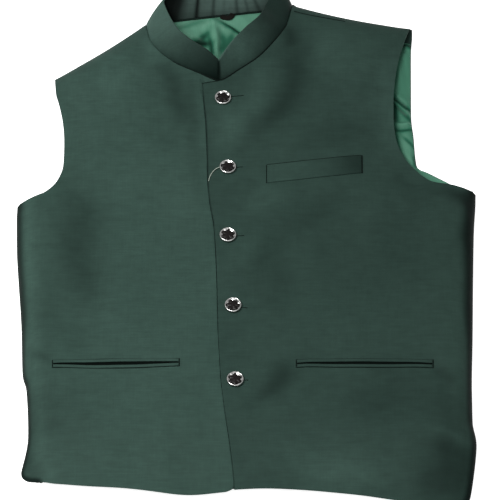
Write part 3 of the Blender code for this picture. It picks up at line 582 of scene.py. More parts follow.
def painted_shade_at(x, y, tones, wandering=1.0):
    """How much painted shade darkens the cloth at x, y: each line takes its share of the light that is
    left.
    """
    x, y = wander(x, y, wandering)
    kept = np.ones_like(x)
    for line, half_width, strength in tones:
        kept = kept * (1.0 - strength * soft_line(line, half_width, x, y))
    return 1.0 - kept


def fold_depth(x, y, folds):
    """Sum of soft troughs at x, y: valleys along lines, or ridges where the depth is negative."""
    depth = np.zeros_like(x)
    for line, half_width, deep in folds:
        depth = depth + deep * bell(distance_to(line, x, y), half_width)
    return depth


def slow_waves(x, y):
    height = np.zeros_like(x)
    for along_x, along_y, turn, tall in WAVES:
        height = height + tall * np.sin(2 * math.pi * (x / along_x + y / along_y) + turn)
    return height


def hem_y(x):
    return np.interp(x, [p[0] for p in HEM_LINE], [p[1] for p in HEM_LINE])


def body_height(x, y):
    """Height of the fronts' outer surface, away from the side folds and the shoulders."""
    height = HEM_RISE + (BODY_RISE - HEM_RISE) * smooth((y - hem_y(x)) / HEM_FADE)
    height = height - SHOULDER_DROP * smooth(y / SHOULDER_FADE)
    return height - fold_depth(x, y, FURROWS)


def hem_dip(x, y):
    """The hem hangs a little lower beside the button line."""
    near_hem = 1.0 - smooth((y - hem_y(x)) / HEM_DIP["fade"])
    return HEM_DIP["depth"] * bell(x - HEM_DIP["x"], HEM_DIP["half_width"]) * near_hem


def corner_lift(x, y):
    """The hem's corner at the viewer's left is turned up a little."""
    away = np.hypot(x - HEM_CORNER["x"], y - HEM_CORNER["y"])
    return HEM_CORNER["lift"] * bell(away, HEM_CORNER["radius"])


def fine_rows(table, corner_row, pit_row=None):
    """Row places between the table's rows, close together, and their ends. The pit is a corner too."""
    table = np.array(table, dtype=float)
    knots = np.arange(len(table))
    at = []
    for index in range(len(table) - 1):
        ahead = table[index + 1] - table[index]
        length = max(math.hypot(ahead[0], ahead[1]), math.hypot(ahead[2], ahead[3]))
        steps = max(2, round(length / ROW_STEP))
        shares = np.arange(steps) / steps
        if index == len(table) - 2:
            shares = 1.0 - (1.0 - shares) ** 2
        at += [index + share for share in shares]
    at = np.array(at + [len(table) - 1.0])
    ends = np.stack([monotone(knots, table[:, k], at) for k in range(5)], axis=-1)
    if corner_row is not None:
        beside = (at >= corner_row) & (at <= corner_row + 1)
        for k in (0, 1):
            ends[beside, k] = np.interp(at[beside], knots, table[:, k])
    if pit_row is not None:
        beside = np.abs(at - pit_row) <= 1
        for k in (2, 3):
            ends[beside, k] = np.interp(at[beside], knots, table[:, k])
    return at, ends


def front_grid(table, pit_row, corner_row=None, close_columns=()):
    """Outer surface of a front, finely, with the painted shade of each point.

    close_columns are places near the inner edge, in millimetres from it, where the columns lie closer.
    """
    at, ends = fine_rows(table, corner_row, pit_row)
    inner, outer, bow = ends[:, 0:2], ends[:, 2:4], ends[:, 4]
    width = np.linalg.norm(outer - inner, axis=1)
    columns = int(round(width.max() / COLUMN_STEP))
    side_steps = SIDE_ROLL * (1.0 - np.linspace(0.0, 1.0, SIDE_COLUMNS)) ** 2
    close = np.asarray(close_columns, dtype=float)
    rows = []
    for index, span in enumerate(width):
        middle = np.linspace(span - close[-1], SIDE_ROLL, columns - SIDE_COLUMNS)[:-1]
        share = 1.0 - np.concatenate([span - close[:-1], middle, side_steps]) / span
        place = inner[index] + share[:, None] * (outer[index] - inner[index])
        place[:, 1] += bow[index] * 4 * share * (1 - share)
        place[:, 1] -= hem_dip(place[:, 0], place[:, 1])
        place[:, 1] += corner_lift(place[:, 0], place[:, 1])
        rows.append(place)
    flat = np.array(rows)
    x = flat[..., 0]
    y = flat[..., 1]
    side = distance_to(flat[at <= pit_row, -1], x, y)
    armhole = distance_to(flat[at >= pit_row, -1], x, y)
    shoulder = distance_to(flat[-1], x, y)
    share = roll(side, SIDE_ROLL) * roll(shoulder, SHOULDER_ROLL)
    share = share * (ARMHOLE_SHARE + (1 - ARMHOLE_SHARE) * smooth(armhole / ARMHOLE_FADE))
    height = EDGE_RISE + (body_height(x, y) - EDGE_RISE) * share
    creases = crease_depth(x, y, CREASES)
    calm = smooth(side / CALM["side"]) * smooth(shoulder / CALM["shoulder"])
    height = height + (slow_waves(x, y) - creases) * calm
    hem = distance_to(flat[0], x, y)
    turned = 1.0 - roll(hem, HEM_TURN["reach"])
    height = height - HEM_TURN["drop"] * turned * smooth(side / HEM_TURN["calm"])
    height = np.maximum(height, SHELL_WALL + SEAM_GAP)
    # Painted shade: the fronts' lines of painted shade and light, deepened in the creases
    shade = 1.0 - (1.0 - painted_shade_at(x, y, FRONT_PAINTED_SHADE)) * (1.0 - CREASE_SHADE * np.maximum(creases, 0.0))
    return np.dstack([flat, height]), shade, side


def tuck_under(grid):
    """Lower the front that lies underneath, from just before the placket edge."""
    placket_x = placket_at(grid[..., 1])
    lowered = grid.copy()
    below_corner = 1.0 - smooth((grid[..., 1] - PLACKET_TUCK["top_y"]) / PLACKET_TUCK["top_fade"])
    past_edge = smooth((grid[..., 0] - placket_x + PLACKET_TUCK["before"]) / PLACKET_TUCK["ramp"])
    lowered[..., 2] -= (SHELL_WALL + OVERLAP_GAP) * past_edge * below_corner
    near_hem = 1.0 - smooth((grid[..., 1] - hem_y(grid[..., 0])) / HEM_DIP["fade"])
    lifted = smooth((grid[..., 0] - placket_x + UNDERLAP_LIFT["before"]) / UNDERLAP_LIFT["over"])
    lowered[..., 1] += UNDERLAP_LIFT["rise"] * lifted * near_hem
    return lowered


def deepen(shade, more):
    return 1.0 - (1.0 - shade) * (1.0 - more)


def placket_at(y):
    """Where the placket edge is at y, up to its corner."""
    edge = np.array(LEFT_FRONT_ROWS, dtype=float)[:LEFT_CORNER_ROW + 1]
    return np.interp(y, edge[:, 1], edge[:, 0])


def placket_shadow(grid):
    """The painted soft shadow of the placket edge on the front underneath."""
    away = placket_at(grid[..., 1]) - grid[..., 0]
    below_corner = 1.0 - smooth((grid[..., 1] - PLACKET_SHADOW["top_y"]) / PLACKET_SHADOW["top_fade"])
    return PLACKET_SHADOW["dark"] * bell(np.maximum(away, 0.0), PLACKET_SHADOW["reach"]) * below_corner


# Painted shade along the placket edge of the front on top, strongest higher up and none above the corner
def placket_edge_shade(grid):
    away = np.linalg.norm(grid[..., :2] - grid[:, :1, :2], axis=-1)
    below_corner = 1.0 - smooth((grid[..., 1] - PLACKET_EDGE["top_y"]) / PLACKET_EDGE["top_fade"])
    rise = smooth((grid[..., 1] - PLACKET_EDGE["from_y"]) / PLACKET_EDGE["rise"])
    dark = PLACKET_EDGE["low"] + (PLACKET_EDGE["high"] - PLACKET_EDGE["low"]) * rise
    return dark * bell(away, PLACKET_EDGE["reach"]) * below_corner


def side_shade(shade, side, y, base, rim, fade, strength, strip, place, width, narrow):
    """Darker all over by base, darker still by painted shade beside the side fold, and painted light in
    the strip along it.
    """
    low = smooth((RIM_NARROW["from_y"] - y) / RIM_NARROW["fade"])
    near = strength * (1.0 - smooth((side * (1.0 + narrow * low) - rim) / fade))
    beside = strip * bell(side - place, width)
    return 1.0 - (1.0 - shade) * (1.0 - base) * (1.0 - near) * (1.0 + beside)


def coons(left, right, bottom, top, across, upward):
    """A grid of points between four edges."""
    left = along(left, upward)
    right = along(right, upward)
    bottom = along(bottom, across)
    top = along(top, across)
    u = across[None, :, None]
    v = upward[:, None, None]
    corners = ((1 - u) * (1 - v) * bottom[0] + u * (1 - v) * bottom[-1]
               + (1 - u) * v * top[0] + u * v * top[-1])
    rows = (1 - v) * bottom[None] + v * top[None]
    return rows + (1 - u) * left[:, None] + u * right[:, None] - corners


def quads(rows, columns, closed=False):
    faces = []
    for row in range(rows - 1):
        for column in range(columns - 1):
            first = row * columns + column
            faces.append((first, first + 1, first + columns + 1, first + columns))
        if closed:
            first = row * columns
            faces.append((first + columns - 1, first, first + columns, first + 2 * columns - 1))
    return faces


def add_piece(name, mesh, material, stands_for=()):
    mesh.materials.append(material)
    piece = bpy.data.objects.new(name, mesh)
    bpy.context.scene.collection.objects.link(piece)
    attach(piece, "root")
    if stands_for:
        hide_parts(*stands_for)
    return piece


def cloth(name, grid, wall, material, stands_for=(), shade=None, flip=False,
          edge=EDGE_ROUND, inner=None):
    """A wall of cloth: the grid is its outer side, the wall lies behind it, and its rims are rounded.

    inner is the material and the shade of the wall's other side, where they aren't the same.
    """
    shades = {"shade": shade}
    if inner:
        shades["inner_shade"] = inner[1]
    if flip:
        grid = grid[:, ::-1]
        shades = {key: None if values is None else values[:, ::-1] for key, values in shades.items()}
    mesh = bpy.data.meshes.new(name)
    points = to_frame(grid).reshape(-1, 3)
    mesh.from_pydata(points.tolist(), [], quads(*grid.shape[:2]))
    for key, values in shades.items():
        if values is not None:
            layer = mesh.attributes.new(key, "FLOAT", "POINT")
            layer.data.foreach_set("value", np.ascontiguousarray(values, dtype=np.float32).ravel())
    mesh.shade_smooth()
    mesh.update()
    piece = add_piece(name, mesh, material, stands_for)
    solid = piece.modifiers.new("wall", "SOLIDIFY")
    solid.thickness = wall * MM
    solid.offset = -1.0
    solid.use_even_offset = False
    if inner:
        mesh.materials.append(inner[0])
        solid.material_offset = 1
    rim = piece.modifiers.new("rim", "BEVEL")
    rim.width = edge * MM
    rim.segments = 2
    rim.limit_method = "ANGLE"
    rim.angle_limit = math.radians(55.0)
    return piece


def surface_tree(grid):
    points = [Vector(p) for p in grid.reshape(-1, 3)]
    return BVHTree.FromPolygons(points, quads(*grid.shape[:2]))


def height_on(tree, x, y):
    hit = tree.ray_cast(Vector((x, y, SKY)), Vector((0.0, 0.0, -1.0)))
    return hit[0].z


def lathe(name, rings, material, stands_for):
    """A closed form from rings of points, top centre to bottom centre."""
    rings = np.asarray(rings)
    mesh = bpy.data.meshes.new(name)
    mesh.from_pydata(rings.reshape(-1, 3).tolist(), [], quads(*rings.shape[:2], closed=True))
    shape = bmesh.new()
    shape.from_mesh(mesh)
    bmesh.ops.remove_doubles(shape, verts=shape.verts, dist=WELD)
    bmesh.ops.recalc_face_normals(shape, faces=shape.faces)
    shape.to_mesh(mesh)
    shape.free()
    mesh.shade_smooth()
    return add_piece(name, mesh, material, stands_for)


# Materials

def new_material(name):
    material = bpy.data.materials.new(name)
    material.use_nodes = True
    graph = material.node_tree
    return material, graph, graph.nodes["Principled BSDF"]


def add_node(graph, kind, **values):
    node = graph.nodes.new(kind)
    for key, value in values.items():
        if key in node.inputs:
            node.inputs[key].default_value = value
        else:
            setattr(node, key, value)
    return node


def set_values(node, values):
    for key, value in values.items():
        node.inputs[key].default_value = value


def place_in_mm(graph, stretch):
    """Object coordinates in millimetres, stretched."""
    coordinates = add_node(graph, "ShaderNodeTexCoord")
    mapping = add_node(graph, "ShaderNodeMapping")
    mapping.inputs["Scale"].default_value = [1000.0 * s for s in stretch]
    graph.links.new(coordinates.outputs["Object"], mapping.inputs["Vector"])
    return mapping.outputs["Vector"]


def noise(graph, stretch, detail=2.0):
    node = add_node(graph, "ShaderNodeTexNoise", Scale=1.0, Detail=detail, Roughness=0.55)
    graph.links.new(place_in_mm(graph, stretch), node.inputs["Vector"])
    return node.outputs["Fac"]


def bands(graph, direction, period, distortion=0.6):
    node = add_node(graph, "ShaderNodeTexWave", bands_direction=direction, Scale=1.0,
                    Distortion=distortion, Detail=1.0)
    scale = WAVE_SCALE / period
    graph.links.new(place_in_mm(graph, (scale, scale, scale)), node.inputs["Vector"])
    return node.outputs["Fac"]


def math_node(graph, operation, first, second):
    node = add_node(graph, "ShaderNodeMath", operation=operation)
    for socket, value in zip(node.inputs, (first, second)):
        if isinstance(value, (int, float)):
            socket.default_value = value
        else:
            graph.links.new(value, socket)
    return node.outputs["Value"]


def ramp_range(graph, value, low, high, from_low=0.25, from_high=0.75):
    node = add_node(graph, "ShaderNodeMapRange")
    set_values(node, {"From Min": from_low, "From Max": from_high, "To Min": low, "To Max": high})
    graph.links.new(value, node.inputs["Value"])
    return node.outputs["Result"]


def mix_colours(graph, factor, first, second):
    node = add_node(graph, "ShaderNodeMix", data_type="RGBA", blend_type="MIX")
    graph.links.new(factor, node.inputs[0])
    for socket, value in ((node.inputs[6], first), (node.inputs[7], second)):
        if isinstance(value, tuple):
            socket.default_value = (*value, 1.0)
        else:
            graph.links.new(value, socket)
    return node.outputs[2]


def scaled_colour(graph, colour, factor):
    node = add_node(graph, "ShaderNodeVectorMath", operation="SCALE")
    graph.links.new(colour, node.inputs[0])
    graph.links.new(factor, node.inputs["Scale"])
    return node.outputs["Vector"]


def bump(graph, shader, layers):
    """Chains bumps: height output, strength, distance in millimetres."""
    normal = None
    for height, strength, distance in layers:
        node = add_node(graph, "ShaderNodeBump", Strength=strength, Distance=distance * MM)
        graph.links.new(height, node.inputs["Height"])
        if normal is not None:
            graph.links.new(normal, node.inputs["Normal"])
        normal = node.outputs["Normal"]
    graph.links.new(normal, shader.inputs["Normal"])


def suiting(name, light, dark, sheen=0.012, weave=0.75, attribute="shade",
            deep=(0.0006, 0.0035, 0.0026), gloss=0.06):
    """Fine worsted: a tight weave, thin slubs both ways, slow changes of tone, and painted shade from
    its shade attribute that mixes in the deep colour.
    """
    material, graph, shader = new_material(name)
    slub_x = noise(graph, (0.035, 0.55, 0.3))
    slub_y = noise(graph, (0.5, 0.03, 0.3))
    tone = noise(graph, (0.011, 0.008, 0.01), detail=3.0)
    colour = mix_colours(graph, ramp_range(graph, tone, 0.0, 1.0), dark, light)
    blotch = noise(graph, (0.06, 0.10, 0.1), detail=3.0)
    threads = math_node(graph, "ADD", slub_x, math_node(graph, "MULTIPLY", slub_y, 0.55))
    lightness = ramp_range(graph, threads, 0.9, 1.1, *THREAD_RANGE)
    patchy = ramp_range(graph, blotch, 0.92, 1.08, 0.3, 0.7)
    lightness = math_node(graph, "MULTIPLY", lightness, patchy)
    shade = add_node(graph, "ShaderNodeAttribute", attribute_name=attribute).outputs["Fac"]
    lit = scaled_colour(graph, colour, lightness)
    # The shade attribute mixes in the deep colour: painted shade
    graph.links.new(mix_colours(graph, shade, lit, deep), shader.inputs["Base Color"])
    graph.links.new(ramp_range(graph, threads, 0.62, 0.78, *THREAD_RANGE), shader.inputs["Roughness"])
    set_values(shader, {"Specular IOR Level": gloss, "Sheen Weight": sheen, "Sheen Roughness": 0.5,
                        "Sheen Tint": (0.62, 0.9, 0.8, 1.0)})
    across = bands(graph, "X", weave)
    down = bands(graph, "Y", weave)
    cross = math_node(graph, "MULTIPLY", across, down)
    bump(graph, shader, [(threads, 0.35, 0.25), (cross, 0.25, 0.12)])
    return material


def satin(name, light, dark, middle=(0.016, 0.088, 0.053), deep=(0.0003, 0.009, 0.005)):
    """Satin lining: smooth, with a fine cross thread; painted shade from its shade attribute darkens it
    towards the middle and then the deep colour.
    """
    material, graph, shader = new_material(name)
    thread = noise(graph, (0.9, 0.05, 0.4))
    tone = noise(graph, (0.03, 0.02, 0.03), detail=3.0)
    colour = mix_colours(graph, ramp_range(graph, tone, 0.0, 1.0), dark, light)
    lightness = ramp_range(graph, thread, 0.94, 1.06)
    shade = add_node(graph, "ShaderNodeAttribute", attribute_name="shade").outputs["Fac"]
    lit = scaled_colour(graph, colour, lightness)
    # Painted shade: the first half of the shade goes towards the middle colour, the second towards the
    # deep one
    half_dark = mix_colours(graph, ramp_range(graph, shade, 0.0, 1.0, 0.0, 0.5), lit, middle)
    dark_share = ramp_range(graph, shade, 0.0, 1.0, 0.5, 1.0)
    graph.links.new(mix_colours(graph, dark_share, half_dark, deep), shader.inputs["Base Color"])
    graph.links.new(ramp_range(graph, thread, 0.42, 0.55), shader.inputs["Roughness"])
    set_values(shader, {"Specular IOR Level": 0.1, "Anisotropic": 0.3, "Sheen Weight": 0.01,
                        "Sheen Roughness": 0.3, "Sheen Tint": (0.7, 1.0, 0.85, 1.0)})
    weave = bands(graph, "X", 0.45, distortion=0.3)
    bump(graph, shader, [(thread, 0.2, 0.15), (weave, 0.12, 0.05)])
    return material


def hard_finish(name, grain, detail, first, second, rough, values, relief):
    """A hard finish whose colour and gloss change a little from place to place."""
    material, graph, shader = new_material(name)
    mottle = noise(graph, (grain, grain, grain), detail=detail)
    tint = mix_colours(graph, ramp_range(graph, mottle, 0.0, 1.0), first, second)
    graph.links.new(tint, shader.inputs["Base Color"])
    graph.links.new(ramp_range(graph, mottle, *rough), shader.inputs["Roughness"])
    set_values(shader, values)
    bump(graph, shader, [(mottle, *relief)])
    return material


def sewing_thread(name, light, dark):
    material, graph, shader = new_material(name)
    twist = bands(graph, "DIAGONAL", 0.6, distortion=0.2)
    tint = mix_colours(graph, twist, dark, light)
    graph.links.new(tint, shader.inputs["Base Color"])
    graph.links.new(ramp_range(graph, twist, 0.55, 0.75), shader.inputs["Roughness"])
    set_values(shader, {"Sheen Weight": 0.02, "Specular IOR Level": 0.03})
    bump(graph, shader, [(twist, 0.4, 0.15)])
    return material


SHELL = suiting("shell_suiting", (0.0325, 0.0635, 0.052), (0.0265, 0.0532, 0.0434))
# The collar is the shell's cloth drawn about 1.3 times as bright, painted light that its painted shade
# takes back in places; its inner side is drawn lighter still, and its painted shade goes to near black
COLLAR = suiting("collar_suiting", (0.042, 0.080, 0.066), (0.0355, 0.0685, 0.0565))
COLLAR_INSIDE = suiting("collar_inside", (0.051, 0.082, 0.072), (0.042, 0.070, 0.061), sheen=0.0,
                        attribute="inner_shade", deep=(0.0004, 0.0012, 0.0009), gloss=0.04)
LINING = satin("lining_satin", (0.092, 0.225, 0.158), (0.074, 0.200, 0.136))
SILVER = hard_finish("button_silver", 0.9, 4.0, (0.84, 0.84, 0.82), (0.55, 0.55, 0.54), (0.12, 0.3),
                     {"Metallic": 1.0}, (0.15, 0.1))
ENAMEL = hard_finish("button_enamel", 0.7, 3.0, (0.0018, 0.0016, 0.0016), (0.007, 0.0045, 0.0045),
                     (0.3, 0.45), {"Specular IOR Level": 0.2}, (0.2, 0.12))
DARK_THREAD = sewing_thread("dark_thread", (0.0045, 0.0095, 0.0075), (0.002, 0.0045, 0.0035))
PALE_THREAD = sewing_thread("pale_thread", (0.34, 0.38, 0.33), (0.22, 0.26, 0.22))
LOOP_CLOTH = suiting("loop_braid", (0.011, 0.009, 0.0075), (0.003, 0.004, 0.0035), sheen=0.0,
                     weave=0.5, gloss=0.03)
# A near-black cloth for the strip in each pocket slit: painted shade of the slit
SLIT_SHADE = suiting("pocket_slit_shade", (0.0016, 0.0032, 0.0026), (0.001, 0.002, 0.0016), sheen=0.0,
                gloss=0.02)


# Fronts, back and lining

right_grid, right_shade, right_side = front_grid(RIGHT_FRONT_ROWS, RIGHT_PIT_ROW,
                                                 close_columns=RIGHT_CLOSE_COLUMNS)
right_grid = tuck_under(right_grid)
right_shade = side_shade(right_shade, right_side, right_grid[..., 1], **SIDE_SHADE["right"])
right_shade = deepen(right_shade, placket_shadow(right_grid))
left_grid, left_shade, left_side = front_grid(LEFT_FRONT_ROWS, LEFT_PIT_ROW, LEFT_CORNER_ROW,
                                              LEFT_CLOSE_COLUMNS)
left_shade = side_shade(left_shade, left_side, left_grid[..., 1], **SIDE_SHADE["left"])
left_shade = deepen(left_shade, placket_edge_shade(left_grid))
right_tree = surface_tree(right_grid)
left_tree = surface_tree(left_grid)

front_right = cloth("front_right_cloth", right_grid, SHELL_WALL, SHELL, ["front_right"],
                    right_shade, True)
front_left = cloth("front_left_cloth", left_grid, SHELL_WALL, SHELL, ["front_left"],
                   left_shade)


def back_panel():
    across, upward = (np.linspace(0.0, 1.0, round(size / BACK_STEP)) for size in BACK_SIZE)
    flat = coons(BACK_LEFT, BACK_RIGHT, BACK_BOTTOM, BACK_TOP, across, upward)
    height = BACK_WALL + fold_depth(flat[..., 0], flat[..., 1], BACK_FOLDS) * BACK_FOLD_SHARE
    shade = np.full(height.shape, BACK_SHADE)
    return cloth("back_panel_cloth", np.dstack([flat, height]), BACK_WALL, SHELL,
                 ["back_panel"], shade, edge=0.4)


def back_lining():
    across = np.linspace(0.0, 1.0, round(LINING_SIZE / LINING_COLUMN_STEP))
    upward = np.concatenate([np.linspace(0.0, LINING_HIGH_FROM, LINING_ROWS_LOW)[:-1],
                             np.linspace(LINING_HIGH_FROM, 1.0, LINING_ROWS_HIGH)])
    flat = coons(LINING_LEFT, LINING_RIGHT, LINING_BOTTOM, LINING_TOP, across, upward)
    x = flat[..., 0]
    y = flat[..., 1]
    base = BACK_WALL + SEAM_GAP + LINING_WALL
    folds = fold_depth(x, y, LINING_FOLDS)
    height = np.maximum(base + LINING_RISE["rest"] - folds, base)
    shares = np.linspace(0, 1, EDGE_SAMPLES)
    edge = distance_to(along(LINING_RIGHT, shares), x, y)
    edge = np.minimum(edge, distance_to(along(LINING_TOP, shares), x, y))
    height = base + (height - base) * smooth(edge / LINING_RISE["edge"])
    # Painted shade and painted light of the lining
    shade = painted_shade_at(x, y, LINING_PAINTED_SHADE, wandering=LINING_WANDER)
    return cloth("back_lining_satin", np.dstack([flat, height]), LINING_WALL, LINING,
                 ["back_lining"], shade, edge=0.3)


back = back_panel()
lining = back_lining()


# Collar

def collar_band():
    right_at = fine_rows(RIGHT_FRONT_ROWS, None)[0]
    left_at = fine_rows(LEFT_FRONT_ROWS, LEFT_CORNER_ROW)[0]
    right_edge = right_grid[right_at >= RIGHT_NECK_ROW, 0]
    left_edge = left_grid[left_at >= LEFT_NECK_ROW, 0][::-1]
    back_edge = np.array([(x, y, COLLAR_BACK_SEAT + COLLAR_SINK) for x, y in BACK_NECK])
    ring = np.vstack([right_edge, back_edge, left_edge])
    reach = reach_along(ring[:, :2])
    rows = np.array(COLLAR_ROWS, dtype=float)
    knots = [reach[int(np.argmin(np.hypot(ring[:, 0] - row[0], ring[:, 1] - row[1])))] for row in rows]
    knots[0] = 0.0
    knots[-1] = reach[-1]
    at = np.linspace(0.0, reach[-1], COLLAR_STEPS + 1)
    base = np.stack([np.interp(at, reach, ring[:, k]) for k in range(3)], axis=-1)
    top = np.stack([monotone(knots, rows[:, k], at) for k in (2, 3, 4)], axis=-1)
    tangent = np.gradient(base[:, :2], axis=0)
    window = np.ones(TURN_WINDOW) / TURN_WINDOW
    tangent = np.stack([np.convolve(np.pad(tangent[:, k], TURN_WINDOW // 2, mode="edge"), window,
                                    mode="valid") for k in (0, 1)], axis=-1)
    tangent /= np.linalg.norm(tangent, axis=1)[:, None]
    inward = np.stack([tangent[:, 1], -tangent[:, 0]], axis=-1)
    base[:, :2] += inward * COLLAR_INSET
    base[:, 2] = np.maximum(base[:, 2] - COLLAR_SINK, COLLAR_BACK_SEAT)
    base[:, 0] += END_CLOSE["shift"] * np.exp(-at / END_CLOSE["fade"])
    base[:, 0] -= END_CLOSE["shift"] * np.exp(-(reach[-1] - at) / END_CLOSE["fade"])
    at_back = smooth((base[:, 1] - COLLAR_BACK_BEGINS["y"]) / COLLAR_BACK_BEGINS["over"])
    grid = []
    shade = []
    inner_shade = []
    for level in np.linspace(0.0, 1.0, COLLAR_LEVELS + 1):
        line = base * (1 - level) + top * level
        bulge = COLLAR_BULGE * 4 * level * (1 - level)
        wrinkle = np.zeros(len(at))
        for x, half_width, depth in COLLAR_WRINKLES:
            lean = x + (level - WRINKLE_LEAN["level"]) * WRINKLE_LEAN["share"] * math.sin(x)
            wrinkle += depth * bell(base[:, 0] - lean, half_width)
        wrinkle *= at_back * (WRINKLE_KEPT + (1 - WRINKLE_KEPT) * level)
        line[:, :2] -= inward * (bulge + wrinkle)[:, None]
        grid.append(line)
        # Painted shade of the collar: its outer side, its foot, and its inner side with stripes along
        # the wrinkles
        share = np.linspace(0.0, 1.0, len(at))
        outside = np.interp(share, *zip(*COLLAR_PAINTED_SHADE))
        beside = smooth(np.abs(share - FOOT_SHADE["bright_at"]) / FOOT_SHADE["fade"])
        near_end = bell(share, END_SHADE["width"])
        foot_and_end_painted_shade = deepen(FOOT_SHADE["dark"] * (1 - level) ** 4 * beside,
                      END_SHADE["dark"] * (1 - level) ** 2 * near_end)
        shade.append(deepen(outside, foot_and_end_painted_shade))
        inside = np.interp(base[:, 0], *zip(*INSIDE_PAINTED_SHADE))
        stripes = np.zeros(len(at))
        for x, half_width, dark, lean in INSIDE_STRIPE_SHADE:
            away = base[:, 0] - x - lean * (level - 0.5)
            stripes = deepen(stripes, dark * bell(away, half_width) * at_back)
        inner_shade.append(deepen(deepen(inside, foot_and_end_painted_shade), stripes))
    return np.array(grid), np.array(shade), np.array(inner_shade), inward


collar_grid, collar_shade, inside_shade, inward = collar_band()
collar = cloth("collar_cloth", collar_grid, COLLAR_WALL, COLLAR, ["collar"], collar_shade,
               True, edge=0.7, inner=(COLLAR_INSIDE, inside_shade))


def thread(name, route, radius, fades=(1.0, 1.0), material=DARK_THREAD, fineness=2,
           record_slot="shell"):
    """A thin round line through the points of a route; fades are its thickness at its two ends."""
    curve = bpy.data.curves.new(name, "CURVE")
    curve.dimensions = "3D"
    curve.bevel_depth = radius * MM
    curve.bevel_resolution = fineness
    curve.use_fill_caps = True
    line = curve.splines.new("POLY")
    line.points.add(len(route) - 1)
    shares = np.linspace(0.0, 1.0, len(route))
    for spot, place, share in zip(line.points, to_frame(route), shares):
        spot.co = (*place, 1.0)
        spot.radius = fades[0] + (fades[1] - fades[0]) * share
    curve.materials.append(material)
    piece = bpy.data.objects.new(name, curve)
    bpy.context.scene.collection.objects.link(piece)
    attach(piece, "root")
    return piece


foot = collar_grid[0]
behind = foot[:, 1] > COLLAR_BACK_FROM
inside_foot = foot[behind].copy()
inside_foot[:, :2] += inward[behind] * (COLLAR_WALL + SEAM_GAP)
inside_foot[:, 2] = LINING_SEAM_HEIGHT
on_right = foot[:, 0] < SEAM_MIDDLE_X
right_foot = foot[on_right & (foot[:, 0] > SEAM_RIGHT_END[0]) & (foot[:, 1] < SEAM_RIGHT_END[1])]
left_foot = foot[(foot[:, 0] > SEAM_MIDDLE_X) & (foot[:, 1] < SEAM_LEFT_TOP) & ~behind]
collar_seams = [
    thread("collar_back_seam", inside_foot, COLLAR_SEAMS["back"]),
    thread("collar_right_seam", right_foot + SEAM_SHIFT, COLLAR_SEAMS["right"],
           COLLAR_SEAMS["right_fades"]),
    thread("collar_left_seam", left_foot + SEAM_SHIFT, COLLAR_SEAMS["left"]),
]


# Hanger loop

def ribbon_loop():
    route = through(LOOP_ROUTE, LOOP_STEPS)
    ahead = np.gradient(route, axis=0)
    ahead /= np.linalg.norm(ahead, axis=1)[:, None]
    side = np.cross(ahead, (0.0, 0.0, 1.0))
    side /= np.linalg.norm(side, axis=1)[:, None]
    up = np.cross(side, ahead)
    rings = []
    turn = np.linspace(0.0, 2 * math.pi, LOOP_SEGMENTS, endpoint=False)
    wide, thick = (np.sign(wave) * np.abs(wave) ** LOOP_SQUARENESS * half
                   for wave, half in ((np.cos(turn), LOOP_HALF_WIDTH), (np.sin(turn), LOOP_HALF_WALL)))
    for point, s, u in zip(route, side, up):
        rings.append(point + wide[:, None] * s + thick[:, None] * u)
    first, last = (np.tile(route[end], (LOOP_SEGMENTS, 1)) for end in (0, -1))
    rings = to_frame(np.array([first, *rings, last]))
    return lathe("hanger_loop_braid", rings, LOOP_CLOTH, ["hanger_loop"])


loop = ribbon_loop()


# Pockets and chest welt

# Painted shade of a jet: the fronts' painted shade and light at its place, deepened by its front's base
def strip_shade(grid, base):
    return deepen(painted_shade_at(grid[..., 0], grid[..., 1], FRONT_PAINTED_SHADE), base)


def strip_grid(ground, line, width, lanes, lift, offset=0.0, bow=0.0, upright=False, rounding=0.0,
               taper=0.0):
    start = np.array([line["x0"], line["y0"]])
    end = np.array([line["x1"], line["y1"]])
    run = (end - start) / np.linalg.norm(end - start)
    side = np.array([0.0, 1.0]) if upright else np.array([-run[1], run[0]])
    rows = []
    for share in np.linspace(0.0, 1.0, STRIP_PIECES + 1):
        belly = 4 * share * (1 - share)
        middle = start + share * (end - start) + side * (offset + bow * belly)
        row = []
        for lane in np.linspace(-0.5, 0.5, lanes + 1):
            x, y = middle + side * lane * width * (1.0 - taper * (1.0 - belly))
            puff = rounding * (1.0 - (2 * lane) ** 2) - rounding
            row.append((x, y, height_on(ground, x, y) + lift + puff))
        rows.append(row)
    return np.array(rows)


def seam_line(name, ground, points, radius, sink=0.0):
    """A thin dark line laid on a front."""
    spots = along(points, np.linspace(0.0, 1.0, 4 * len(points) + LINE_SPOTS))
    return thread(name, [(x, y, height_on(ground, x, y) + radius - sink) for x, y in spots], radius)


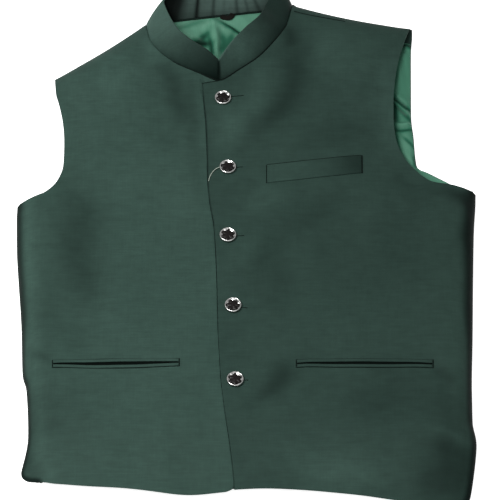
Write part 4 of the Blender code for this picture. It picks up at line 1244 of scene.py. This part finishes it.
def pocket(name, ground, base):
    """Two jets, a near-black strip between them as painted shade of the mouth, and the seams and end
    tacks round them.
    """
    line = POCKETS[name]
    bow = JET_BOW + line["gape"] / 2
    reach = JET_OFFSET + JET_WIDTH / 2 + JET_SEAM["gap"]
    highest = reach + JET_BOW + line["gape"] / 2
    ends = [(line["x0"], line["y0"]), (line["x1"], line["y1"])]
    middle = ((line["x0"] + line["x1"]) / 2, (line["y0"] + line["y1"]) / 2)
    jets = []
    for part, sign in SIDES:
        grid = strip_grid(ground, line, JET_WIDTH, JET_LANES, WELT_LIFT + WELT_WALL, sign * JET_OFFSET,
                          sign * bow, rounding=JET_ROUND)
        jets.append(cloth(f"{name}_{part}_jet", grid, WELT_WALL, SHELL, [f"{name}_{part}"],
                          strip_shade(grid, base), True, edge=0.35))
    # The near-black strip in the mouth stands for the mouth's shade: painted shade
    mouth = strip_grid(ground, line, POCKET_SLIT_SHADE["width"] * JET_OFFSET, POCKET_SLIT_SHADE["lanes"],
                       POCKET_SLIT_SHADE["lift"], taper=POCKET_SLIT_SHADE["taper"])
    marks = [cloth(f"{name}_mouth", mouth, POCKET_SLIT_SHADE["wall"], SLIT_SHADE, flip=True, edge=0.05)]
    for part, sign in SIDES:
        spots = ((ends[0], reach), (middle, highest), (ends[1], reach))
        route = [(x, y + sign * away) for (x, y), away in spots]
        marks.append(seam_line(f"{name}_{part}_seam", ground, route, JET_SEAM["radius"], LINE_SINK))
    for end, (x, y), way in (("start", ends[0], -1), ("end", ends[1], 1)):
        across = [(x + way * TACK["gap"], y + rise) for rise in (-TACK["reach"], TACK["reach"])]
        marks.append(seam_line(f"{name}_{end}_tack", ground, across, TACK["radius"], SHALLOW_SINK))
    return jets, marks


right_jets, right_marks = pocket("pocket_right", right_tree, SIDE_SHADE["right"]["base"])
left_jets, left_marks = pocket("pocket_left", left_tree, SIDE_SHADE["left"]["base"])

welt_grid = strip_grid(left_tree, CHEST_WELT, CHEST_WELT["width"], WELT_LANES, WELT_LIFT + WELT_WALL,
                       upright=True, rounding=WELT_ROUND)
welt_share = (welt_grid[..., 0] - CHEST_WELT["x0"]) / (CHEST_WELT["x1"] - CHEST_WELT["x0"])
welt_shade = np.interp(welt_share, *zip(*WELT_PAINTED_SHADE))
welt = cloth("chest_welt_cloth", welt_grid, WELT_WALL, SHELL, ["chest_welt"], welt_shade, True,
             edge=0.4)


def welt_marks():
    half = CHEST_WELT["width"] / 2
    x0, y0, x1, y1 = (CHEST_WELT[key] for key in ("x0", "y0", "x1", "y1"))
    start = [(x0 - WELT_SEAM["gap"], y0 + rise) for rise in (-half, half)]
    end = [(x1 + WELT_SEAM["gap"], y1 + rise) for rise in (-half, half)]
    # The mouth line is a dark line along the welt's open top: painted shadow of the opening
    mouth = [(x, y + half + WELT_MOUTH_SHADOW["gap"]) for x, y in ((x0, y0), (x1, y1))]
    return [
        seam_line("chest_welt_start_seam", left_tree, start, WELT_SEAM["start"]),
        seam_line("chest_welt_end_seam", left_tree, end, WELT_SEAM["end"]),
        seam_line("chest_welt_mouth_shadow", left_tree, mouth, WELT_MOUTH_SHADOW["radius"],
                  SHALLOW_SINK),
    ]


welt_seams = welt_marks()


# Buttons

def turned_frame(x, y, ground):
    """Where a button sits, square to the cloth and clear of it."""
    rise_x = height_on(ground, x + BUTTON_SPAN, y) - height_on(ground, x - BUTTON_SPAN, y)
    rise_y = height_on(ground, x, y + BUTTON_SPAN) - height_on(ground, x, y - BUTTON_SPAN)
    slope_x, slope_y = rise_x / (2 * BUTTON_SPAN), rise_y / (2 * BUTTON_SPAN)
    normal = Vector((-slope_x, -slope_y, 1.0)).normalized()
    centre = Vector((x, y, height_on(ground, x, y)))
    clear = 0.0
    for angle in np.linspace(0.0, 2 * math.pi, SHANK_SAMPLES, endpoint=False):
        px = x + SHANK_RADIUS * math.cos(angle)
        py = y + SHANK_RADIUS * math.sin(angle)
        clear = max(clear, (Vector((px, py, height_on(ground, px, py))) - centre).dot(normal))
    seat = centre + normal * (clear + SEAM_GAP)
    turn = Vector((0.0, 0.0, 1.0)).rotation_difference(normal).to_matrix()
    return np.array(seat), np.array(turn)


def set_in_place(rings, seat, turn):
    return to_frame(np.asarray(rings) @ turn.T + seat)


def circle(reach, angle, height):
    return np.stack([reach * np.cos(angle), reach * np.sin(angle), np.full_like(angle, height)], axis=-1)


def button(number, x, y, spin):
    seat, turn = turned_frame(x, y, left_tree)
    angle = np.linspace(0.0, 2 * math.pi, RIM_SEGMENTS, endpoint=False)
    petals = np.cos(FACE_PETALS * (angle - spin))
    first, last = RIM_INNER
    rings = []
    for index, (radius, height) in enumerate(RIM_PROFILE):
        fade = 1.0 - (index - first) / (last - first + 1.0)
        lobe = RIM_LOBE * fade * smooth(-petals) if first <= index <= last else 0.0
        rings.append(circle(radius - lobe, angle, height))
    rim = lathe(f"button_{number}_rim", set_in_place(rings, seat, turn), SILVER,
                [f"button_{number}"])
    outline = FACE_RADIUS + FACE_LOBE * petals
    base = RIM_PROFILE[0][1] + SEAM_GAP
    rings = []
    for share in np.linspace(0.0, 1.0, FACE_RINGS):
        deep = smooth((share - FACE_GROOVE["begins"]) / FACE_GROOVE["over"])
        groove = FACE_GROOVE["depth"] * deep * (1 - petals) / 2
        rounded = FACE_EDGE["drop"] * smooth((share - FACE_EDGE["begins"]) / FACE_EDGE["over"])
        height = base + FACE_HEIGHT + FACE_DOME * (1 - share ** 2) - groove - rounded
        rings.append(circle(outline * share, angle, height))
    rings += [circle(outline * share, angle, base) for share in (1.0, 0.0)]
    face = lathe(f"button_{number}_flower", set_in_place(rings, seat, turn), ENAMEL,
                 [f"button_face_{number}"])
    return rim, face


for number, (x, y, spin) in enumerate(BUTTONS, start=1):
    button(number, x, y, spin)

for number, (x0, y0, x1, y1) in enumerate(BUTTONHOLES, start=1):
    route = [(x0, y0), (x1, y1)]
    seam_line(f"buttonhole_{number}", left_tree, route, HOLE_RADIUS, LINE_SINK)
seam_line("placket_top_line", left_tree, PLACKET_TOP, HOLE_RADIUS, SHALLOW_SINK)
seam_line("shoulder_seam", left_tree, SHOULDER_SEAM, SHOULDER_SEAM_RADIUS, LINE_SINK)

loose_end = [(x, y, height_on(left_tree, x, y) + lift) for x, y, lift in through(THREAD, THREAD_STEPS)]
thread("loose_thread", loose_end, THREAD_RADIUS, material=PALE_THREAD, fineness=3, record_slot=None)


# Floor, light and camera

def floor():
    mesh = bpy.data.meshes.new("floor")
    shape = bmesh.new()
    bmesh.ops.create_grid(shape, x_segments=4, y_segments=4, size=FLOOR_SIZE)
    shape.to_mesh(mesh)
    shape.free()
    material, graph, shader = new_material("floor_white")
    cloud = noise(graph, (0.002, 0.002, 0.002))
    tint = mix_colours(graph, cloud, (0.88, 0.88, 0.88), (0.91, 0.91, 0.91))
    graph.links.new(tint, shader.inputs["Base Color"])
    set_values(shader, {"Roughness": 0.9, "Emission Color": (1.0, 1.0, 1.0, 1.0),
                        "Emission Strength": 0.75})
    mesh.materials.append(material)
    piece = bpy.data.objects.new("floor", mesh)
    piece.location.z = -FLOOR_DROP
    bpy.context.scene.collection.objects.link(piece)


def area_light(name, place, size, power, tint):
    """A square light that is turned to the frame's origin."""
    data = bpy.data.lights.new(name, "AREA")
    data.shape = "SQUARE"
    data.size = size
    data.energy = power
    data.color = tint
    light = bpy.data.objects.new(name, data)
    light.location = place
    light.rotation_euler = (-Vector(place)).to_track_quat("-Z", "Y").to_euler()
    bpy.context.scene.collection.objects.link(light)


floor()
for light_name, settings in LIGHTS.items():
    area_light(light_name, *settings)

world = bpy.data.worlds.new("studio")
world.use_nodes = True
set_values(world.node_tree.nodes["Background"], {"Color": (1.0, 1.0, 1.0, 1.0), "Strength": SKY_LIGHT})
bpy.context.scene.world = world
bpy.context.scene.view_settings.view_transform = "Standard"

camera_data = bpy.data.cameras.new("camera")
camera_data.lens = LENS
camera_data.sensor_width = SENSOR
camera_data.clip_start = 0.1
camera_data.clip_end = 100.0
camera = bpy.data.objects.new("camera", camera_data)
camera.location = Vector(TARGET) + DISTANCE * Vector((0.0, -math.cos(ELEVATION), math.sin(ELEVATION)))
camera.rotation_euler = (math.pi / 2 - ELEVATION, 0.0, 0.0)
bpy.context.scene.collection.objects.link(camera)
bpy.context.scene.camera = camera
